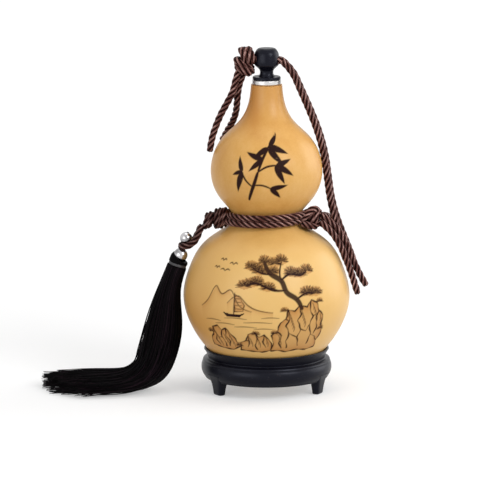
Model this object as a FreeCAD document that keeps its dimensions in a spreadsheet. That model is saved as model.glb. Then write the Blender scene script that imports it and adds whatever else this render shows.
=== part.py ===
# Gourd water bottle on a three-footed stand, with a corded stopper, a waist cord and a tassel.
# Millimetres, +Z up. The origin is on the floor under the gourd's axis, and the front is -Y.

import FreeCAD, Part
import Sketcher
import math
import operator
import os
from FreeCAD import Placement, Rotation, Vector

# Driving dimensions, one spreadsheet cell each.
sizes = {
    # cords, clearances and the step of the cord routes
    "cord_diameter": 3.65,
    "pair_spacing": 3.9,
    "leash_spacing": 4.3,
    "route_unit": 1.0,
    "fit_gap": 0.05,
    # stand ring, from the floor up, and inwards and outwards from its seat
    "skirt_height": 8.0,
    "belly_height": 11.6,
    "rim_band": 6.3,
    "seat_drop": 8.0,
    "seat_radius": 36.3,
    "seat_width": 8.9,
    "rim_lip": 1.3,
    "rim_edge": 0.5,
    "rim_foot_inset": 1.3,
    "rim_flare_round": 14.0,
    "ledge": 0.9,
    "stand_belly_round": 8.0,
    "skirt_spread": 0.5,
    # stand feet
    "foot_count": 3,
    "foot_turn": -26.0,
    "foot_inset": 0.2,
    "foot_top_depth": 6.8,
    "foot_top_half": 5.2,
    "sole_draw": 0.3,
    "foot_sole_depth": 4.4,
    "foot_sole_half": 3.7,
    "foot_round": 1.2,
    "tenon_radius": 2.2,
    "tenon_length": 5.0,
    # foot of the gourd, measured from the seat that carries it
    "scar_radius": 9.0,
    "scar_drop": 3.6,
    "base_inset": 5.0,
    "base_drop": 1.9,
    "under_overhang": 6.6,
    "under_rise": 9.7,
    # gourd above, outer radius of each place that shapes it and its rise from the place below
    "lower_bulb_swell": 7.0,
    "lower_bulb_rise": 22.3,
    "lower_shoulder_draw": 4.2,
    "lower_shoulder_rise": 17.9,
    "lower_crown_radius": 35.6,
    "lower_crown_rise": 15.1,
    "waist_radius": 20.1,
    "waist_rise": 14.5,
    "upper_under_radius": 27.6,
    "upper_under_rise": 11.1,
    "upper_bulb_radius": 33.4,
    "upper_bulb_rise": 16.5,
    "crown_radius": 26.4,
    "crown_rise": 20.1,
    "neck_root_radius": 15.7,
    "neck_root_rise": 10.8,
    "neck_radius": 10.8,
    "neck_rise": 10.5,
    "mouth_radius": 9.3,
    "mouth_rise": 10.8,
    "wall": 3.6,
    "coat": 0.8,
    # mouth collar
    "collar_radius": 8.7,
    "collar_height": 3.1,
    "collar_edge": 0.6,
    "sleeve_radius": 6.3,
    "sleeve_bore": 5.5,
    "sleeve_length": 13.0,
    # stopper
    "flange_inset": 0.3,
    "flange_height": 1.7,
    "flange_edge": 0.5,
    "stem_radius": 4.05,
    "stem_height": 4.4,
    "knob_radius": 7.9,
    "knob_under_radius": 7.0,
    "knob_under_height": 2.8,
    "knob_side_start": 5.2,
    "knob_side_end": 8.4,
    "knob_height": 13.2,
    "knob_top_radius": 4.2,
    "knob_under_round": 3.2,
    "knob_top_round": 6.0,
    "slot_rise": 5.6,
    "slot_gap": 0.2,
    "plug_radius": 5.2,
    "plug_length": 14.0,
    "plug_edge": 1.0,
    "seal_section": 1.4,
    "groove_width": 1.7,
    "upper_seal_depth": 4.0,
    "lower_seal_depth": 9.0,
    # knots, as half lengths and places
    "stopper_knot_reach": 12.9,
    "stopper_knot_rise": 2.0,
    "stopper_knot_drop": 7.0,
    "stopper_knot_shift": 1.3,
    "stopper_knot_half_width": 4.7,
    "stopper_knot_half_depth": 5.2,
    "stopper_knot_half_height": 6.3,
    "right_knot_out": 8.5,
    "right_knot_front": 5.0,
    "right_knot_drop": 0.6,
    "right_knot_half_width": 4.8,
    "right_knot_half_height": 6.8,
    "left_knot_out": 10.9,
    "left_knot_front": 2.5,
    "left_knot_drop": 0.6,
    "left_knot_half_width": 6.8,
    "left_knot_half_depth": 5.2,
    "left_knot_half_height": 5.4,
    # tassel, along its own leaning axis from the middle of the lower bead
    "tassel_clear": 5.8,
    "tassel_front": 4.0,
    "tassel_drop": 22.8,
    "tassel_lean": 18.0,
    "bead_spacing": 10.7,
    "lower_bead_radius": 4.2,
    "upper_bead_radius": 3.7,
    "thread_radius": 0.7,
    "end_knot_radius": 1.3,
    "bead_gap": 0.25,
    "head_radius": 5.7,
    "head_top": 1.6,
    "head_foot": 4.9,
    "head_round": 2.4,
    "head_neck_radius": 4.6,
    "head_neck_foot": 7.1,
    "binding_radius": 5.6,
    "binding_round": 1.4,
}

doc = FreeCAD.newDocument("gourd_bottle")
sheet = doc.addObject("Spreadsheet::Sheet", "Sizes")
for row, (alias, number) in enumerate(sizes.items(), start=1):
    sheet.set(f"A{row}", alias)
    sheet.set(f"B{row}", str(number))
    sheet.setAlias(f"B{row}", alias)
doc.recompute()


# A number together with the sheet formula that gives it.
class Size:
    signs = {"+": operator.add, "-": operator.sub, "*": operator.mul, "/": operator.truediv}

    def __init__(self, value, text):
        self.value = value
        self.text = text

    def join(self, sign, other, swapped=False):
        if not isinstance(other, Size):
            other = Size(other, f"({other})")
        left, right = (other, self) if swapped else (self, other)
        value = self.signs[sign](left.value, right.value)
        return Size(value, f"({left.text} {sign} {right.text})")

    def __add__(self, other):
        return self.join("+", other)

    def __sub__(self, other):
        return self.join("-", other)

    def __rsub__(self, other):
        return self.join("-", other, swapped=True)

    def __mul__(self, other):
        return self.join("*", other)

    def __rmul__(self, other):
        return self.join("*", other, swapped=True)

    def __truediv__(self, other):
        return self.join("/", other)

    def __neg__(self):
        return self.join("*", -1)

    def root(self):
        return Size(math.sqrt(self.value), f"sqrt({self.text})")


def size(alias):
    return Size(float(sheet.get(alias)), f"Sizes.{alias}")


zero = Size(0.0, "0")
full_turn = Size(360.0, "360")
half_share = 0.5
cord_radius = size("cord_diameter") * half_share


# Sketches

def new_body(label):
    body = doc.addObject("PartDesign::Body", label)
    body.Label = label
    return body


def new_sketch(body, role, name, lift=None, turn=None):
    sketch = body.newObject("Sketcher::SketchObject", f"{body.Label}_{name}")
    plane = [feature for feature in body.Origin.OriginFeatures if feature.Role == role][0]
    sketch.AttachmentSupport = [(plane, "")]
    sketch.MapMode = "FlatFace"
    if lift is not None:
        sketch.setExpression("AttachmentOffset.Base.z", lift.text)
    if turn is not None:
        sketch.setExpression("AttachmentOffset.Rotation.Angle", turn.text)
    return sketch


def bind(sketch, kind, terms, amount):
    index = sketch.addConstraint(Sketcher.Constraint(kind, *terms, amount.value))
    name = f"c{index}"
    sketch.renameConstraint(index, name)
    sketch.setExpression(f"Constraints.{name}", amount.text)


# A point of a sketch is held on an axis where its place is zero, and bound to the sheet elsewhere.
def hold(sketch, geometry, end, place):
    axes = (("DistanceX", -2), ("DistanceY", -1))
    for (kind, axis), amount in zip(axes, place):
        if amount is zero:
            sketch.addConstraint(Sketcher.Constraint("PointOnObject", geometry, end, axis))
        else:
            bind(sketch, kind, (-1, 1, geometry, end), amount)


def flat(place):
    return Vector(place[0].value, place[1].value, 0)


def arc_middle(start, finish, radius, side):
    chord = finish - start
    across = Vector(-chord.y, chord.x, 0).normalize() * side
    centre_height = math.sqrt(radius ** 2 - (chord.Length / 2) ** 2)
    return (start + finish) / 2 + across * (radius - centre_height)


# One edge: (place,) is a line to that place, (place, radius, side) an arc bulging to the left (1) or
# right (-1) of the way there, and ("spline", places) a smooth curve through all the places.
def draw(sketch, start, edges, closed=True):
    here = start
    first_end = None
    last_end = None
    for edge in edges:
        if edge[0] == "spline":
            places = [here] + edge[1]
            curve = Part.BSplineCurve()
            curve.interpolate([flat(place) for place in places])
            index = sketch.addGeometry(curve, False)
            sketch.exposeInternalGeometry(index)
            inner = range(index + 1, sketch.GeometryCount)
            knots = [each for each in inner if sketch.Geometry[each].TypeId == "Part::GeomPoint"]
            held = 0 if first_end is None else 1
            for knot, place in zip(knots[held:], places[held:]):
                hold(sketch, knot, 1, place)
            ends = (index, 1), (index, 2)
            there = places[-1]
        else:
            there = edge[0]
            if len(edge) == 1:
                index = sketch.addGeometry(Part.LineSegment(flat(here), flat(there)), False)
                ends = (index, 1), (index, 2)
            else:
                radius, side = edge[1], edge[2]
                middle = arc_middle(flat(here), flat(there), radius.value, side)
                index = sketch.addGeometry(Part.Arc(flat(here), middle, flat(there)), False)
                ends = (index, 1), (index, 2)
                if (sketch.getPoint(index, 1) - flat(here)).Length > (
                        sketch.getPoint(index, 2) - flat(here)).Length:
                    ends = (index, 2), (index, 1)
                bind(sketch, "Radius", (index,), radius)
        if last_end is not None:
            sketch.addConstraint(Sketcher.Constraint("Coincident", *last_end, *ends[0]))
        last_is_first = closed and edge is edges[-1]
        if edge[0] != "spline" and not last_is_first:
            hold(sketch, *ends[1], there)
        if first_end is None:
            first_end = ends[0]
            if edge[0] != "spline":
                hold(sketch, *first_end, start)
        last_end = ends[1]
        here = there
    if closed:
        sketch.addConstraint(Sketcher.Constraint("Coincident", *last_end, *first_end))


def turned_body(label, start, edges):
    body = new_body(label)
    sketch = new_sketch(body, "XZ_Plane", "outline")
    draw(sketch, start, edges)
    turned = body.newObject("PartDesign::Revolution", f"{label}_turned")
    turned.Profile = sketch
    turned.ReferenceAxis = (sketch, ["V_Axis"])
    turned.Angle = 360
    return body


def place_on_tassel(thing):
    thing.Placement = Placement(Vector(0, 0, 0), Rotation(Vector(0, 1, 0), size("tassel_lean").value))
    thing.setExpression("Placement.Base.x", (-tassel_reach).text)
    thing.setExpression("Placement.Base.y", (-size("tassel_front")).text)
    thing.setExpression("Placement.Base.z", tassel_height.text)
    thing.setExpression("Placement.Rotation.Angle", size("tassel_lean").text)


# Stand ring: skirt, rounded belly, ledge, flared rim and the conical seat inside

skirt = size("skirt_height")
shoulder = skirt + size("belly_height")
rim = shoulder + size("rim_band")
seat_floor = rim - size("seat_drop")
seat_radius = size("seat_radius")
seat_bore = seat_radius - size("seat_width")
skirt_radius = seat_radius + size("skirt_spread")
rim_radius = seat_radius + size("rim_lip")
stand_ring = turned_body("stand_ring", (seat_bore, skirt), [
    ((skirt_radius, skirt),),
    ((seat_radius + size("ledge"), shoulder), size("stand_belly_round"), -1),
    ((seat_radius - size("rim_foot_inset"), shoulder),),
    ((rim_radius, rim - size("rim_edge")), size("rim_flare_round"), 1),
    ((rim_radius - size("rim_edge"), rim),),
    ((seat_radius, rim),),
    ((seat_bore, seat_floor),),
    ((seat_bore, skirt),),
])
foot_top_outer = skirt_radius - size("foot_inset")
foot_top_inner = foot_top_outer - size("foot_top_depth")
foot_sole_outer = foot_top_outer - size("sole_draw")
foot_sole_inner = foot_sole_outer - size("foot_sole_depth")
tenon_place = (foot_top_inner + foot_top_outer) * half_share
socket_sketch = new_sketch(stand_ring, "XY_Plane", "socket", lift=skirt, turn=size("foot_turn"))
socket_place = Vector(tenon_place.value, 0, 0)
socket_radius = size("tenon_radius") + size("fit_gap")
socket = socket_sketch.addGeometry(Part.Circle(socket_place, Vector(0, 0, 1), socket_radius.value), False)
hold(socket_sketch, socket, 3, (tenon_place, zero))
bind(socket_sketch, "Radius", (socket,), socket_radius)
socket_cut = stand_ring.newObject("PartDesign::Pocket", "stand_ring_socket_cut")
socket_cut.Profile = socket_sketch
socket_cut.Reversed = True
socket_cut.setExpression("Length", (size("tenon_length") + size("fit_gap")).text)
socket_turns = stand_ring.newObject("PartDesign::PolarPattern", "stand_ring_sockets")
socket_turns.Originals = [socket_cut]
socket_turns.Axis = ([each for each in stand_ring.Origin.OriginFeatures if each.Role == "Z_Axis"][0], [""])
socket_turns.Angle = 360
socket_turns.setExpression("Occurrences", size("foot_count").text)
stand_ring.Tip = socket_turns


# Stand feet: a loft from the sole up to the skirt, with a round tenon

def rounded_rectangle(sketch, near, far, half, corner):
    draw(sketch, (near + corner, -half), [
        ((far - corner, -half),),
        ((far, -half + corner), corner, -1),
        ((far, half - corner),),
        ((far - corner, half), corner, -1),
        ((near + corner, half),),
        ((near, half - corner), corner, -1),
        ((near, -half + corner),),
        ((near + corner, -half), corner, -1),
    ])


def stand_foot(label, step):
    body = new_body(label)
    sole = new_sketch(body, "XY_Plane", "sole")
    corner = size("foot_round")
    rounded_rectangle(sole, foot_sole_inner, foot_sole_outer, size("foot_sole_half"), corner)
    top = new_sketch(body, "XY_Plane", "top", lift=skirt)
    rounded_rectangle(top, foot_top_inner, foot_top_outer, size("foot_top_half"), corner)
    loft = body.newObject("PartDesign::AdditiveLoft", f"{label}_block")
    loft.Profile = sole
    loft.Sections = [(top, [""])]
    loft.Ruled = True
    tenon_sketch = new_sketch(body, "XY_Plane", "tenon", lift=skirt)
    circle = Part.Circle(socket_place, Vector(0, 0, 1), size("tenon_radius").value)
    tenon = tenon_sketch.addGeometry(circle, False)
    hold(tenon_sketch, tenon, 3, (tenon_place, zero))
    bind(tenon_sketch, "Radius", (tenon,), size("tenon_radius"))
    pad = body.newObject("PartDesign::Pad", f"{label}_tenon_pad")
    pad.Profile = tenon_sketch
    pad.setExpression("Length", size("tenon_length").text)
    turn = size("foot_turn") + full_turn * step / size("foot_count")
    body.Placement = Placement(Vector(0, 0, 0), Rotation(Vector(0, 0, 1), turn.value))
    body.setExpression("Placement.Rotation.Angle", turn.text)
    return body


feet = [
    stand_foot("stand_foot_right", 0),
    stand_foot("stand_foot_back", 1),
    stand_foot("stand_foot_left", 2),
]


# Gourd: radius and height of each place of its outline, upwards from the seat

gourd_radius = {
    "scar": size("scar_radius"),
    "base": seat_bore - size("base_inset"),
    "lower_under": seat_radius + size("under_overhang"),
}
gourd_height = {
    "scar": seat_floor - size("base_drop") - size("scar_drop"),
    "base": seat_floor - size("base_drop"),
    "lower_under": rim + size("under_rise"),
}
gourd_radius["lower_bulb"] = gourd_radius["lower_under"] + size("lower_bulb_swell")
gourd_radius["lower_shoulder"] = gourd_radius["lower_bulb"] - size("lower_shoulder_draw")
upper_names = ["lower_crown", "waist", "upper_under", "upper_bulb", "crown", "neck_root", "neck", "mouth"]
for name in upper_names:
    gourd_radius[name] = size(f"{name}_radius")
below = "lower_under"
for name in ("lower_bulb", "lower_shoulder", *upper_names):
    gourd_height[name] = gourd_height[below] + size(f"{name}_rise")
    below = name
waist = gourd_height["waist"]
tassel_reach = gourd_radius["lower_shoulder"] + size("tassel_clear")
tassel_height = waist - size("tassel_drop")

# The places that shape the wall, with the way it goes in at each, as shares of its thickness
gourd_places = ["neck_root", "crown", "upper_bulb", "upper_under", "waist", "lower_crown", "lower_shoulder",
                "lower_bulb", "lower_under", "base", "scar"]
wall_way_shares = [(0.85, 0.53), (0.72, 0.70), (1.0, 0.0), (0.80, -0.60), (1.0, 0.0), (0.74, 0.67),
                   (0.90, 0.43), (1.0, 0.0), (0.86, -0.51), (0.53, -0.85), (0.0, -1.0)]


def gourd_line(depth):
    places = []
    for name, (out_share, up_share) in zip(gourd_places, wall_way_shares):
        radius = gourd_radius[name] - depth * out_share
        height = gourd_height[name] - depth * up_share
        places.append((radius, height))
    return places


mouth = gourd_height["mouth"]
scar = gourd_height["scar"]
sleeve = size("sleeve_radius") + size("fit_gap")
bore_foot = mouth - size("sleeve_length") - size("fit_gap")
outer_line = [(gourd_radius["neck"], gourd_height["neck"])] + gourd_line(zero * 1)
inner_line = gourd_line(size("wall"))
gourd_shell = turned_body("gourd_shell", (size("mouth_radius"), mouth), [
    ("spline", outer_line),
    ((zero, scar),),
    ((zero, scar + size("wall")),),
    (inner_line[-1],),
    ("spline", inner_line[-2::-1]),
    ((sleeve, bore_foot),),
    ((sleeve, mouth),),
    ((size("mouth_radius"), mouth),),
])

# Wax coat: a thin skin on the inside of the gourd, from the scar up to the root of the neck
coat_line = gourd_line(size("wall") + size("fit_gap"))
bare_line = gourd_line(size("wall") + size("fit_gap") + size("coat"))
wax_coat = turned_body("wax_coat", coat_line[0], [
    ("spline", coat_line[1:]),
    ((zero, coat_line[-1][1]),),
    ((zero, bare_line[-1][1]),),
    (bare_line[-1],),
    ("spline", bare_line[-2::-1]),
    (coat_line[0],),
])

# Mouth collar: a rounded band on the cut neck and a sleeve down into it
collar_top = mouth + size("collar_height")
edge = size("collar_edge")
mouth_collar = turned_body("mouth_collar", (size("sleeve_bore"), collar_top), [
    ((size("sleeve_bore"), mouth - size("sleeve_length")),),
    ((size("sleeve_radius"), mouth - size("sleeve_length")),),
    ((size("sleeve_radius"), mouth),),
    ((size("collar_radius") - edge, mouth),),
    ((size("collar_radius"), mouth + edge), edge, -1),
    ((size("collar_radius"), collar_top - edge),),
    ((size("collar_radius") - edge, collar_top), edge, -1),
    ((size("sleeve_bore"), collar_top),),
])

# Stopper: plug with two seal grooves, flange, stem and knob
seal_radius = size("seal_section") * half_share
seal_place = size("sleeve_bore") - size("fit_gap") - seal_radius
groove_floor = seal_place - seal_radius - size("fit_gap")
groove_half = size("groove_width") * half_share
plug_edge = size("plug_edge")
upper_seal = collar_top - size("upper_seal_depth")
lower_seal = collar_top - size("lower_seal_depth")
flange_top = collar_top + size("flange_height")
stem_top = flange_top + size("stem_height")
flange_radius = size("collar_radius") - size("flange_inset")
flange_edge = size("flange_edge")
stopper_knob = turned_body("stopper_knob", (zero, collar_top - size("plug_length")), [
    ((size("plug_radius") - plug_edge, collar_top - size("plug_length")),),
    ((size("plug_radius"), collar_top - size("plug_length") + plug_edge),),
    ((size("plug_radius"), lower_seal - groove_half),),
    ((groove_floor, lower_seal - groove_half),),
    ((groove_floor, lower_seal + groove_half),),
    ((size("plug_radius"), lower_seal + groove_half),),
    ((size("plug_radius"), upper_seal - groove_half),),
    ((groove_floor, upper_seal - groove_half),),
    ((groove_floor, upper_seal + groove_half),),
    ((size("plug_radius"), upper_seal + groove_half),),
    ((size("plug_radius"), collar_top),),
    ((flange_radius, collar_top),),
    ((flange_radius, flange_top - flange_edge),),
    ((flange_radius - flange_edge, flange_top), flange_edge, -1),
    ((size("stem_radius"), flange_top),),
    ((size("stem_radius"), stem_top),),
    ((size("knob_under_radius"), stem_top + size("knob_under_height")),),
    ((size("knob_radius"), stem_top + size("knob_side_start")), size("knob_under_round"), -1),
    ((size("knob_radius"), stem_top + size("knob_side_end")),),
    ((size("knob_top_radius"), stem_top + size("knob_height")), size("knob_top_round"), -1),
    ((zero, stem_top + size("knob_height")),),
    ((zero, collar_top - size("plug_length")),),
])
slot_half = size("pair_spacing") * half_share
slot_radius = cord_radius + size("slot_gap")
slot_middle = stem_top + size("slot_rise")
slot_low = slot_middle - slot_radius
slot_high = slot_middle + slot_radius
slot_sketch = new_sketch(stopper_knob, "YZ_Plane", "slot")
slot_ends = [
    (sign * slot_half, height) for height in (slot_low, slot_high) for sign in (-1, 1)
]
slot_lines = [
    slot_sketch.addGeometry(Part.LineSegment(flat(slot_ends[0]), flat(slot_ends[1])), False),
    slot_sketch.addGeometry(Part.LineSegment(flat(slot_ends[2]), flat(slot_ends[3])), False),
]
for line, (near, far) in zip(slot_lines, (slot_ends[:2], slot_ends[2:])):
    hold(slot_sketch, line, 1, near)
    hold(slot_sketch, line, 2, far)
for corner, sign in ((0, -1), (1, 1)):
    low, high = flat(slot_ends[corner]), flat(slot_ends[corner + 2])
    bow = (low + high) / 2 + Vector(sign * slot_radius.value, 0, 0)
    arc = slot_sketch.addGeometry(Part.Arc(low, bow, high), False)
    ends = (1, 2) if slot_sketch.getPoint(arc, 1).y < slot_sketch.getPoint(arc, 2).y else (2, 1)
    for kind, end, line in zip(("Tangent", "Coincident"), ends, slot_lines):
        slot_sketch.addConstraint(Sketcher.Constraint(kind, arc, end, line, corner + 1))
slot_cut = stopper_knob.newObject("PartDesign::Pocket", "stopper_knob_slot_cut")
slot_cut.Profile = slot_sketch
slot_cut.Type = 1
slot_cut.Midplane = True


def seal_ring(label, height):
    ring = doc.addObject("Part::Torus", label)
    ring.Label = label
    ring.setExpression("Radius1", seal_place.text)
    ring.setExpression("Radius2", seal_radius.text)
    ring.setExpression("Placement.Base.z", height.text)
    return ring


seal_rings = [
    seal_ring("upper_seal_ring", upper_seal),
    seal_ring("lower_seal_ring", lower_seal),
]


# Knots: plain rounded lumps that the cords run into

def lump(label, place, halves):
    solid = doc.addObject("Part::Ellipsoid", label)
    solid.Label = label
    for name, amount in zip(("Radius2", "Radius3", "Radius1"), halves):
        solid.setExpression(name, amount.text)
    for axis, amount in zip("xyz", place):
        solid.setExpression(f"Placement.Base.{axis}", amount.text)
    return solid


knot_halves = [size(f"stopper_knot_half_{name}") for name in ("width", "depth", "height")]
low_share = 0.86
upper_lobe_height = slot_middle + size("stopper_knot_rise")
upper_lobe = lump("stopper_knot_upper_lobe", (
    -size("stopper_knot_reach"), zero, upper_lobe_height), knot_halves)
lower_lobe = lump("stopper_knot_lower_lobe", (
    -size("stopper_knot_reach") - size("stopper_knot_shift"), zero,
    upper_lobe_height - size("stopper_knot_drop")), [half * low_share for half in knot_halves])
stopper_knot = doc.addObject("Part::MultiFuse", "stopper_knot")
stopper_knot.Label = "stopper_knot"
stopper_knot.Shapes = [upper_lobe, lower_lobe]

waist_knot_right = lump("waist_knot_right", (
    size("waist_radius") + size("right_knot_out"), -size("right_knot_front"),
    waist - size("right_knot_drop")), (
    size("right_knot_half_width"), size("right_knot_half_width"), size("right_knot_half_height")))
waist_knot_left = lump("waist_knot_left", (
    -size("waist_radius") - size("left_knot_out"), -size("left_knot_front"),
    waist - size("left_knot_drop")), (
    size("left_knot_half_width"), size("left_knot_half_depth"), size("left_knot_half_height")))


# Cords: straight runs joined by tangent arcs, each arc as large as its runs allow

corner_share = 0.45


def solid_part(label, shape):
    part = doc.addObject("Part::Feature", label)
    part.Label = label
    part.Shape = shape
    return part


def swept(path, start, way):
    ring = Part.Wire(Part.Circle(start, way, cord_radius.value).toShape())
    return Part.Wire(path).makePipeShell([ring], True, False)


def cord_path(points):
    path = []
    radii = []
    last = points[0]
    for before, corner, after in zip(points, points[1:], points[2:]):
        way_in = (corner - before).normalize()
        way_out = (after - corner).normalize()
        cut = corner_share * min((corner - before).Length, (after - corner).Length)
        turn = way_in.getAngle(way_out)
        radii.append(cut / math.tan(turn / 2))
        begin = corner - way_in * cut
        finish = corner + way_out * cut
        inward = (way_out - way_in).normalize()
        middle = corner + inward * (radii[-1] / math.cos(turn / 2) - radii[-1])
        path.append(Part.LineSegment(last, begin).toShape())
        path.append(Part.Arc(begin, middle, finish).toShape())
        last = finish
    path.append(Part.LineSegment(last, points[-1]).toShape())
    return path, radii


def cord(label, route):
    points = [Vector(*place) * size("route_unit").value for place in route]
    path, radii = cord_path(points)
    shape = swept(path, points[0], points[1] - points[0])
    length = sum(edge.Length for edge in path)
    section = math.pi * cord_radius.value ** 2
    print(f"{label}: length {length:.1f}, least radius {min(radii):.1f},"
          f" volume {shape.Volume:.0f} of {section * length:.0f}")
    return solid_part(label, shape)


# Strands of a pair lie on both sides of a middle route; the fourth number turns the pair about Z.
def pair_routes(middle):
    reach = size("leash_spacing").value * half_share / size("route_unit").value
    routes = []
    for sign in (-1, 1):
        route = []
        for x, y, z, turn in middle:
            away = Rotation(Vector(0, 0, 1), -turn).multVec(Vector(0, sign * reach, 0))
            route.append(tuple(Vector(x, y, z) + away))
        routes.append(route)
    return routes


stopper_tail_left = cord("stopper_tail_left", [
    (-16.5, -1.6, 194.0), (-18.6, -2.0, 187.8), (-19.9, -2.0, 181.2), (-23.6, -2.0, 174.2),
    (-27.6, -1.5, 167.0), (-30.6, -1.0, 159.4), (-33.0, -0.4, 151.9), (-34.0, 0.2, 144.4),
])
stopper_tail_back = cord("stopper_tail_back", [
    (-13.2, 0.9, 193.0), (-15.9, 1.5, 187.0), (-17.1, 2.2, 180.6), (-17.7, 4.0, 173.8),
    (-18.3, 8.0, 167.0), (-20.4, 12.6, 160.6), (-23.8, 17.0, 154.2), (-27.0, 20.6, 147.4),
])
waist_tail_inner = cord("waist_tail_inner", [
    (32.0, -7.4, 103.2), (38.0, -7.8, 98.5), (42.4, -8.0, 92.3), (45.7, -8.0, 85.7),
    (48.4, -7.6, 78.9), (50.8, -7.0, 72.0), (52.9, -6.2, 65.2), (54.8, -5.4, 58.9),
])
waist_tail_outer = cord("waist_tail_outer", [
    (32.4, -4.6, 106.8), (39.4, -4.6, 102.2), (44.6, -4.7, 95.6), (48.2, -4.8, 88.6),
    (51.0, -4.8, 81.7), (53.9, -4.4, 75.0), (57.0, -3.8, 68.6), (60.0, -3.2, 63.6),
])
leash_strands = [cord(label, route) for label, route in zip(("leash_front", "leash_back"), pair_routes([
    (8.7, 0.0, 200.0, 0), (15.4, 0.2, 194.2, 8), (20.6, 0.5, 183.0, 16), (26.2, 1.0, 171.0, 26),
    (31.8, 1.5, 158.0, 36), (35.9, 2.0, 144.0, 45), (38.0, 2.4, 130.0, 55), (39.9, 2.8, 116.0, 64),
    (42.8, 3.0, 103.0, 72), (46.6, 3.8, 91.0, 80), (49.2, 7.0, 81.4, 86), (50.1, 13.0, 76.6, 90),
    (49.6, 20.4, 77.0, 96), (47.4, 26.2, 82.6, 106), (43.4, 27.6, 90.8, 116), (38.8, 23.4, 98.8, 120),
    (34.4, 15.4, 103.4, 114), (31.0, 7.0, 104.9, 106), (29.2, -1.0, 104.7, 100),
]))]
slot_out_share = 0.88
knot_in_share = 1.28
knob_cords = []
for label, sign in (("knob_cord_front", -1), ("knob_cord_back", 1)):
    strand = doc.addObject("Part::Cylinder", label)
    strand.Label = label
    strand.Placement = Placement(Vector(0, 0, 0), Rotation(Vector(0, 1, 0), 90))
    strand.setExpression("Radius", cord_radius.text)
    strand.setExpression("Height", (size("knob_radius") * (slot_out_share + knot_in_share)).text)
    strand.setExpression("Placement.Base.x", (-size("knob_radius") * knot_in_share).text)
    strand.setExpression("Placement.Base.y", (sign * slot_half).text)
    strand.setExpression("Placement.Base.z", slot_middle.text)
    knob_cords.append(strand)

# Tassel loop: from the left waist knot round the thread between the beads and back, with round ends
loop_route = [
    (-38.9, -5.4, 100.6), (-40.9, -6.6, 96.0), (-42.6, -7.4, 91.2), (-47.0, -7.4, 87.0),
    (-52.4, -7.4, 88.8), (-52.4, -0.6, 88.8), (-47.0, -0.6, 87.0), (-42.6, -0.6, 91.2),
    (-40.9, -1.0, 96.0), (-38.9, -1.6, 100.6),
]
tassel_loop = cord("tassel_loop", loop_route)
for place in (loop_route[0], loop_route[-1]):
    tip = Part.makeSphere(cord_radius.value, Vector(*place) * size("route_unit").value)
    tassel_loop.Shape = tassel_loop.Shape.fuse(tip).removeSplitter()

# Waist winding: two turns as one tube, each quarter turn two tangent arcs; turn, radius and height
winding_route = [
    (-9, 27.2, 100.6), (81, 26.1, 101.7), (171, 25.0, 102.8), (261, 23.9, 103.8), (351, 23.0, 104.8),
    (441, 22.7, 105.8), (531, 23.0, 106.9), (621, 23.6, 107.9), (711, 24.4, 109.0),
]


def winding_place(step):
    turn, radius, height = winding_route[step]
    around = Rotation(Vector(0, 0, 1), turn).multVec(Vector(radius, 0, 0))
    return (around + Vector(0, 0, height)) * size("route_unit").value


def winding_way(step):
    turn = winding_route[step][0]
    before = winding_route[max(step - 1, 0)]
    after = winding_route[min(step + 1, len(winding_route) - 1)]
    radian_span = math.radians(after[0] - before[0])
    away = (after[1] - before[1]) / radian_span
    rise = (after[2] - before[2]) / radian_span
    way = Vector(away, winding_route[step][1], rise)
    return Rotation(Vector(0, 0, 1), turn).multVec(way).normalize()


def tangent_arc(start, way, finish):
    chord = finish - start
    along = Vector(chord).normalize()
    across = (way - along * way.dot(along)).normalize()
    bow = chord.Length / 2 * math.tan(way.getAngle(chord) / 2)
    return Part.Arc(start, (start + finish) / 2 + across * bow, finish).toShape()


winding_path = []
for step in range(len(winding_route) - 1):
    start, finish = winding_place(step), winding_place(step + 1)
    way_in, way_out = winding_way(step), winding_way(step + 1)
    gap = finish - start
    both = way_in + way_out
    bend = 2 * (1 - way_in.dot(way_out))
    reach = (math.sqrt(gap.dot(both) ** 2 + bend * gap.dot(gap)) - gap.dot(both)) / bend
    joint = (start + finish + (way_in - way_out) * reach) / 2
    winding_path.append(tangent_arc(start, way_in, joint))
    joint_way = (joint - start - way_in * reach).normalize()
    winding_path.append(tangent_arc(joint, joint_way, finish))
waist_wrap_shape = swept(winding_path, winding_place(0), winding_way(0))
waist_wrap = solid_part("waist_wrap", waist_wrap_shape)
samples_per_arc = 16
winding_points = [
    point for edge in winding_path for point in edge.discretize(samples_per_arc)[:-1]
]
turn_samples = len(winding_points) // 2
nearest = min(
    (first - second).Length
    for step, first in enumerate(winding_points)
    for second in winding_points[step + turn_samples // 2:]
)
print(f"waist_wrap: length {sum(edge.Length for edge in winding_path):.1f},"
      f" least gap to itself {nearest - 2 * cord_radius.value:.2f}, volume {waist_wrap_shape.Volume:.0f}")

# Beads: spheres on the thread, the upper one further along the leaning axis

def bead(label, radius, middle):
    bore = size("thread_radius") + size("fit_gap")
    chord = (radius * radius - bore * bore).root()
    solid = turned_body(label, (bore, middle - chord), [
        ((bore, middle + chord), radius, -1),
        ((bore, middle - chord),),
    ])
    place_on_tassel(solid)
    return solid


beads = [
    bead("bead_lower", size("lower_bead_radius"), zero * 1),
    bead("bead_upper", size("upper_bead_radius"), size("bead_spacing")),
]

# Thread: from the head up through both beads, with a round end knot
thread = size("thread_radius")
knot = size("end_knot_radius")
knot_middle = size("bead_spacing") + size("upper_bead_radius") + size("bead_gap") + knot
knot_chord = (knot * knot - thread * thread).root()
tassel_thread = turned_body("tassel_thread", (zero, -size("head_neck_foot")), [
    ((thread, -size("head_neck_foot")),),
    ((thread, knot_middle - knot_chord),),
    ((thread, knot_middle + knot_chord), knot, -1),
    ((zero, knot_middle + knot_chord),),
    ((zero, -size("head_neck_foot")),),
])
place_on_tassel(tassel_thread)

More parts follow.
